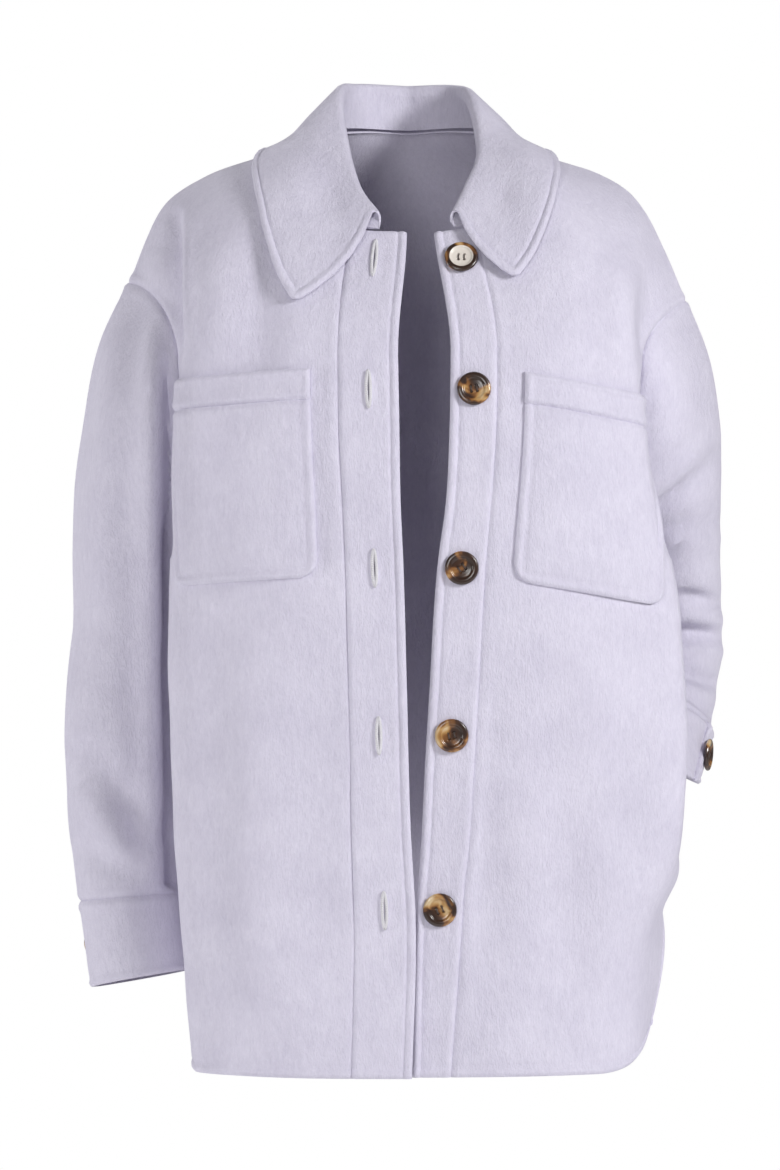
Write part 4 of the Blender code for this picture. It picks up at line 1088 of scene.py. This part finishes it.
# Share of half the neck seam that lies on the front
COLLAR_SPLIT = 0.6
ROLL_RADIUS = 4.6 * MM
ROLL_TURNS = (50, 90, 135)
LEAF_ROWS = 5
LEAF_FINE_ROWS = 26
POINT_RADIUS = 8 * MM
LEG_HEIGHT = 5 * MM
NECK_CLEAR = 1.6 * MM
LEAF_CLEAR = 5.5 * MM


def neck_point(side, share):
    """Point of the neck seam, from the collar's end on the placket to the centre back."""
    front_neck, back_neck = neck_share(side)
    on_front = share < COLLAR_SPLIT
    ahead = np.clip(share / COLLAR_SPLIT, 0, 1)
    behind = np.clip((share - COLLAR_SPLIT) / (1 - COLLAR_SPLIT), 0, 1)
    u_front = -COLLAR_START + (COLLAR_START + front_neck) * ahead
    u_back = SIDES[side] * back_neck * (1 - behind)
    ahead = front_point(side, u_front, np.zeros_like(share))
    behind = back_point(u_back, np.zeros_like(share))
    return np.where(on_front[:, None], ahead, behind)


def collar_half(side, shares):
    """Stand and leaf of half the collar: columns run from its end to the centre back."""
    rows = np.array(COLLAR[side], float)
    sign = SIDES[side]
    values = spline(rows[:, 0], rows[:, 1:] * MM, shares)
    roll = values[:, 0:3] * (sign, 1, -1)
    edge = values[:, 3:6] * (sign, 1, -1)
    bow = values[:, 6]
    seam = neck_point(side, shares) + (0, 0, NECK_CLEAR)
    span = edge - roll
    out = unit(span * (1, 1, 0))
    up = np.array([0, 0, 1.0])
    stand_top = roll - out * ROLL_RADIUS - up * (LEG_HEIGHT + ROLL_RADIUS)
    stand = [seam + (stand_top - seam) * t for t in (0, 0.5, 1)]
    leaf = [stand_top, roll - out * ROLL_RADIUS - up * ROLL_RADIUS]
    for turn in np.radians(ROLL_TURNS):
        centre = roll - up * ROLL_RADIUS
        leaf.append(centre + ROLL_RADIUS * (up * np.sin(turn) - out * np.cos(turn)))
    start = leaf[-1]
    bulge = unit(np.cross(span, np.gradient(roll, axis=0)))
    bulge = bulge * np.sign(bulge[:, 2:3] + 1e-9)
    low = np.clip(-bow, 0, None)[:, None]
    high = np.clip(bow, 0, None)[:, None]
    in_plane = np.cross(bulge, unit(span))
    in_plane = in_plane * np.sign(-in_plane[:, 2:3])
    for t in np.linspace(0, 1, LEAF_ROWS + 1)[1:]:
        arch = 4 * t * (1 - t)
        leaf.append(start + (edge - start) * t + arch * (high * bulge + low * in_plane))
    return np.stack(stand), np.stack(leaf)


def body_cloud():
    """Points of the body's surface with outward normals, for the collar to rest on."""
    clouds = []
    for side, sign in SIDES.items():
        u, level = np.meshgrid(np.linspace(-1, 0.98, 70), np.linspace(0.003, 1.2, 70))
        surface = partial(front_point, side)
        clouds.append((surface(u, level), sign * surface_normals(surface, u, level)))
    u, level = np.meshgrid(np.linspace(-0.97, 0.97, 110), np.linspace(0.003, 1.1, 60))
    clouds.append((back_point(u, level), -surface_normals(back_point, u, level)))
    points = np.concatenate([c[0].reshape(-1, 3) for c in clouds])
    normals = np.concatenate([c[1].reshape(-1, 3) for c in clouds])
    return points, normals


def rest_on(grid, cloud, clear):
    """Moves points out until each lies at least 'clear' above the nearest point of the cloth."""
    points, normals = cloud
    flat = grid.reshape(-1, 3).copy()
    size = (points ** 2).sum(axis=1)
    for _ in range(3):
        nearest = np.argmin(size - 2 * flat @ points.T, axis=1)
        height = ((flat - points[nearest]) * normals[nearest]).sum(axis=1)
        lift = np.clip(clear - height, 0, None)
        flat += normals[nearest] * lift[:, None]
    return flat.reshape(grid.shape)


def resample(grid, rows, cols):
    """Points of a grid at fractional row and column numbers, by straight blending."""
    i = np.clip(np.floor(rows).astype(int), 0, grid.shape[0] - 2)
    j = np.clip(np.floor(cols).astype(int), 0, grid.shape[1] - 2)
    a = (rows - i)[..., None]
    b = (cols - j)[..., None]
    top = grid[i, j] * (1 - b) + grid[i, j + 1] * b
    low = grid[i + 1, j] * (1 - b) + grid[i + 1, j + 1] * b
    return top * (1 - a) + low * a


def whole_collar():
    """Stand and leaf from the right point round the back to the left point, its points rounded."""
    shares = both_ends(100)[:51] * 2
    stand_r, leaf_r = collar_half("right", shares)
    stand_l, leaf_l = collar_half("left", shares)
    stand = np.concatenate([stand_r, stand_l[:, -2::-1]], axis=1)
    leaf = np.concatenate([leaf_r, leaf_l[:, -2::-1]], axis=1)
    turned = len(ROLL_TURNS) + 2
    leaf[turned:] = rest_on(leaf[turned:], body_cloud(), LEAF_CLEAR)
    last = leaf.shape[0] - 1
    fine = turned + (last - turned) * close_to_end(LEAF_FINE_ROWS)
    rows = np.concatenate([np.arange(turned), fine])[:, None]
    cols = np.arange(leaf.shape[1])[None, :].astype(float)
    rows, cols = np.broadcast_arrays(rows, cols)
    span = np.linalg.norm(np.diff(leaf[-1], axis=0), axis=1)
    reach = np.concatenate([[0], np.cumsum(span)])
    from_end = np.minimum(reach, reach[-1] - reach)
    p = np.clip(1 - from_end / POINT_RADIUS, 0, 1) + 0 * rows
    height = np.linalg.norm(leaf[-1, 0] - leaf[turned - 1, 0])
    q = np.clip(1 - (last - rows) / LEAF_ROWS * height / POINT_RADIUS, 0, 1)
    p_bent, q_bent = round_corner(p, q)
    bent = np.interp(POINT_RADIUS * (1 - p_bent), reach, np.arange(len(reach)))
    half = (len(reach) - 1) / 2
    cols = np.where((p > 0) & (q > 0), np.where(cols < half, bent, 2 * half - bent), cols)
    rows = np.where((p > 0) & (q > 0), last - (1 - q_bent) * POINT_RADIUS * LEAF_ROWS / height, rows)
    return stand, resample(leaf, rows, cols)


stand, leaf = whole_collar()
pieces = [cloth("collar_stand", stand, -1), cloth("collar", leaf, -1)]
share_normals(pieces)
reach = edge_distances(leaf)
rim = edge_rim(reach, "first", "last", "bottom")
flat_part = soft_step((reach["top"] - 16 * MM) / (10 * MM))
relief = stitched_edge(rim) * flat_part
relief += flat_part * unevenness(leaf, 0.8 * MM) * soft_step(rim / (12 * MM))
sew(pieces[1], relief)
reach = edge_distances(stand)
sew(pieces[0], 0 * reach["top"])

# Cuffs
# A straight band at each wrist, folded double, that laps over itself and buttons.
# Its edges are stitched 7 mm in, and the sleeve's end is sewn to its top.
CUFF_ROWS = 22
CUFF_COLUMNS = 110


def cuff_grid(side):
    """Cuff band that laps over itself where it buttons."""
    reach = sleeve_stations(side, [0.0])[1]
    start_share = reach[-2] / reach[-1]
    shares = start_share + (1 - start_share) * both_ends(CUFF_ROWS)
    rows = sleeve_stations(side, shares)[0]
    start = CUFF_BUTTON_ANGLE[side] - 360 - CUFF_LAP / 2
    turn = (360 + CUFF_LAP) * both_ends(CUFF_COLUMNS, 1.15)
    lift = CUFF_RISE * np.clip((turn - 300) / 60, 0, 1) ** 2
    grid = ring_points(side, rows, start + turn)
    centre = ring_points(side, rows * (1, 1, 1, 0, 0, 1, 1), start + turn)
    radial = grid - centre
    return grid + unit(radial) * lift[:, None]


for side, sign in SIDES.items():
    grid = cuff_grid(side)
    band = cloth("cuff_" + side, grid, -sign)
    reach = edge_distances(grid)
    rim = edge_rim(reach, "first", "last", "bottom")
    relief = stitched_edge(rim, depth=0.8 * MM) + seam_relief(reach["top"], 1.0 * MM, 1.2 * MM)
    relief += 0.5 * MM + unevenness(grid, 0.4 * MM) * soft_step(rim / (8 * MM))
    sew(band, relief)

# Buttons
# Turned horn buttons, mottled amber, cream and dark brown, with a raised rim, a dished
# middle and four holes. Two bars of thread sew each one on.
BUTTON_RADIUS = 13.4 * MM
BUTTON_THICK = 3.8 * MM
SEAM = 0.3 * MM
THREAD_RADIUS = 0.55 * MM
HOLE_OFFSET = 2.3 * MM
HOLE_RADIUS = 1.05 * MM
# Lathe profile from the middle of the face to the middle of the back: shares of the
# radius and of the thickness
FACE_PROFILE = ((0.0, 0.50), (0.30, 0.50), (0.52, 0.58), (0.60, 0.66), (0.66, 0.90), (0.74, 1.0),
                (0.86, 0.99), (0.95, 0.86), (1.0, 0.58), (0.985, 0.30), (0.93, 0.10), (0.6, 0.0), (0.0, 0.0))


# Horn's colours by the noise at which each is full, and the pearly middle of the top button
HORN_STOPS = ((0.44, (0.030, 0.013, 0.008, 1)), (0.51, (0.055, 0.022, 0.010, 1)),
              (0.57, (0.22, 0.09, 0.025, 1)), (0.64, (0.46, 0.26, 0.09, 1)), (0.72, (0.62, 0.47, 0.28, 1)))
PEARL = (0.74, 0.68, 0.62, 1)
PEARL_REACH = 0.71


def horn(name, pale):
    """Polished horn: drifting patches of amber, cream and near-black brown under a gloss."""
    made, tree, surface, place = new_finish(name)
    link = tree.links.new
    patches = node_of(tree, "ShaderNodeTexNoise", Scale=52.0, Detail=2.0, Roughness=0.45, Distortion=1.2)
    link(place, patches.inputs["Vector"])
    ramp = tree.nodes.new("ShaderNodeValToRGB")
    stops = ramp.color_ramp.elements
    for stop, (position, colour) in zip(stops, (HORN_STOPS[0], HORN_STOPS[-1])):
        stop.position = position
        stop.color = colour
    for position, colour in HORN_STOPS[1:-1]:
        stops.new(position).color = colour
    link(patches.outputs["Fac"], ramp.inputs["Fac"])
    colour = ramp.outputs["Color"]
    if pale:
        middle = tree.nodes.new("ShaderNodeAttribute")
        middle.attribute_name = "middle"
        colour = blend(tree, colour, PEARL, middle.outputs["Fac"])
    link(colour, surface.inputs["Base Color"])
    surface.inputs["Roughness"].default_value = 0.28
    surface.inputs["Coat Weight"].default_value = 0.5
    surface.inputs["Coat Roughness"].default_value = 0.12
    return made


brown_horn = horn("brown_horn", False)
pearly_horn = horn("pearly_horn", True)
button_thread = thread("button_thread", (0.10, 0.07, 0.06, 1.0))


def button(name, centre, normal, finish, turned):
    """Lathe-turned disc with four holes sunk through its face, and two bars of thread."""
    normal = unit(normal)
    side_way = unit(np.cross((0, 0, 1.0), normal))
    up_way = np.cross(normal, side_way)
    profile = np.array(FACE_PROFILE)
    walk = np.concatenate([[0], np.cumsum(np.hypot(*np.diff(profile, axis=0).T))])
    face_end = walk[8]
    fine = np.concatenate([np.linspace(0.02, 0.36, 34), np.linspace(0.38, face_end, 22)])
    places = np.concatenate([fine, walk[9:-1], [walk[-1] - 0.02]])
    radius = np.interp(places, walk, profile[:, 0])[:, None] * BUTTON_RADIUS
    height = np.interp(places, walk, profile[:, 1])[:, None] * BUTTON_THICK
    angle = np.linspace(0, 2 * np.pi, 96, endpoint=False)[None, :]
    x = radius * np.cos(angle)
    y = radius * np.sin(angle)
    height = height + 0 * angle
    tilt = np.radians(turned)
    front_side = (places < face_end)[:, None]
    for i in (-1, 1):
        for j in (-1, 1):
            hx = HOLE_OFFSET * (i * np.cos(tilt) - j * np.sin(tilt))
            hy = HOLE_OFFSET * (i * np.sin(tilt) + j * np.cos(tilt))
            gap = np.hypot(x - hx, y - hy) / HOLE_RADIUS
            height = height - front_side * 1.5 * MM * soft_step((1.25 - gap) / 0.5)
    points = (centre + normal * SEAM + x[..., None] * side_way + y[..., None] * up_way
              + height[..., None] * normal)
    rings, cols = x.shape
    faces = grid_quads(rings, cols, True).reshape(-1, 4).tolist()
    faces.append(list(range(cols)))
    faces.append([(rings - 1) * cols + k for k in range(cols)][::-1])
    mesh = smooth_mesh(name, points, faces, 60)
    middle = mesh.attributes.new("middle", "FLOAT", "POINT")
    middle.data.foreach_set("value", (front_side * (radius < PEARL_REACH * BUTTON_RADIUS) + 0 * x).ravel())
    put(name + "_horn", mesh, finish, "horn", name)
    t = np.linspace(0, 1, 15)[:, None]
    for number, j in enumerate((-1, 1), start=1):
        ends = [HOLE_OFFSET * np.array([j * np.cos(tilt) - i * np.sin(tilt),
                                        j * np.sin(tilt) + i * np.cos(tilt)]) for i in (-1, 1)]
        flat = ends[0] + (ends[1] - ends[0]) * t
        rise = (0.30 * BUTTON_THICK + 1.5 * MM * np.sin(np.pi * t) ** 0.5)
        path = centre + flat[:, :1] * side_way + flat[:, 1:] * up_way + rise * normal
        mesh = tube_mesh("bar", path, np.broadcast_to(normal, path.shape), THREAD_RADIUS)
        put(f"{name}_thread_{number}", mesh, button_thread, "horn")


# How far each front button is turned on its shank, in degrees, from the top one down
BUTTON_TURNS = (0, 8, 35, 12, 20)
for number, (drop, turned) in enumerate(zip(BUTTON_DROPS, BUTTON_TURNS), start=1):
    level = drop_to_level("left", np.array([drop]))
    spot = np.array([-0.5])
    seat = front_point("left", spot, level)[0]
    normal = surface_normals(partial(front_point, "left"), spot, level)[0]
    finish = pearly_horn if number == 1 else brown_horn
    button(f"button_{number}", seat + normal * (PLACKET_RISE + SEAM), normal, finish, turned)

for side, sign in SIDES.items():
    reach = sleeve_stations(side, [0.0])[1]
    share = (1 + reach[-2] / reach[-1]) / 2
    rows = sleeve_stations(side, [share - 0.02, share, share + 0.02])[0]
    patch = ring_points(side, rows, CUFF_BUTTON_ANGLE[side] + np.array([-6.0, 0.0, 6.0]))
    normal = -sign * grid_normals(patch)[1, 1]
    button("button_cuff_" + side, patch[1, 1] + normal * (CUFF_RISE + SEAM), normal, brown_horn, 5)

# Studio
# A pale floor under the garment, a white surround and large soft lights, and the camera
# level with the middle of the garment, straight in front of it.
FLOOR_HALF = 1.9
FLOOR_LEVEL = -1.25
FLOOR_GLOW = 0.04
floor_corners = np.array([(-1, -1, 0), (1, -1, 0), (1, 1, 0), (-1, 1, 0)]) * FLOOR_HALF + (0, 0, FLOOR_LEVEL)
floor_mesh = bpy.data.meshes.new("floor")
floor_mesh.from_pydata(floor_corners.tolist(), [], [(0, 1, 2, 3)])
floor_finish = bpy.data.materials.new("pale_floor")
floor_finish.use_nodes = True
floor_surface = floor_finish.node_tree.nodes["Principled BSDF"]
floor_surface.inputs["Base Color"].default_value = (0.92, 0.92, 0.92, 1)
floor_surface.inputs["Roughness"].default_value = 0.9
floor_surface.inputs["Emission Color"].default_value = (1, 1, 1, 1)
floor_surface.inputs["Emission Strength"].default_value = FLOOR_GLOW
floor_mesh.materials.append(floor_finish)
floor = bpy.data.objects.new("floor", floor_mesh)
bpy.context.scene.collection.objects.link(floor)

SURROUND_LIGHT = 0.17
world = bpy.data.worlds.new("white_surround")
world.use_nodes = True
surround = world.node_tree.nodes["Background"]
surround.inputs["Color"].default_value = (1, 1, 1, 1)
seen = world.node_tree.nodes.new("ShaderNodeLightPath")
brightness = node_of(world.node_tree, "ShaderNodeMapRange", To_Min=SURROUND_LIGHT, To_Max=1.0)
world.node_tree.links.new(seen.outputs["Is Camera Ray"], brightness.inputs["Value"])
world.node_tree.links.new(brightness.outputs["Result"], surround.inputs["Strength"])
bpy.context.scene.world = world
bpy.context.scene.view_settings.view_transform = "Standard"


def soft_light(name, place, target, size, power):
    """Square area light at a place, turned to face the target."""
    lamp = bpy.data.lights.new(name, "AREA")
    lamp.size = size
    lamp.energy = power
    made = bpy.data.objects.new(name, lamp)
    way = np.array(target, float) - np.array(place, float)
    made.rotation_euler = Vector(way).to_track_quat("-Z", "Y").to_euler()
    made.location = place
    bpy.context.scene.collection.objects.link(made)


MIDDLE = (0, 0, -0.35)
soft_light("key", (2.4, -1.9, 0.9), MIDDLE, 0.8, 78)
soft_light("fill", (-0.9, -3.5, 0.2), MIDDLE, 1.2, 35)
soft_light("side_light", (-3.3, -0.4, -0.5), (0, 0, -0.45), 0.8, 40)
soft_light("back_light", (-1.5, 2.6, 1.6), MIDDLE, 1.6, 45)

lens = bpy.data.cameras.new("camera")
lens.sensor_width = 36.0
lens.lens = 134.23
camera = bpy.data.objects.new("camera", lens)
camera.location = (-0.0144, -3.6, -0.3656)
camera.rotation_euler = (np.pi / 2, 0, 0)
bpy.context.scene.collection.objects.link(camera)
bpy.context.scene.camera = camera
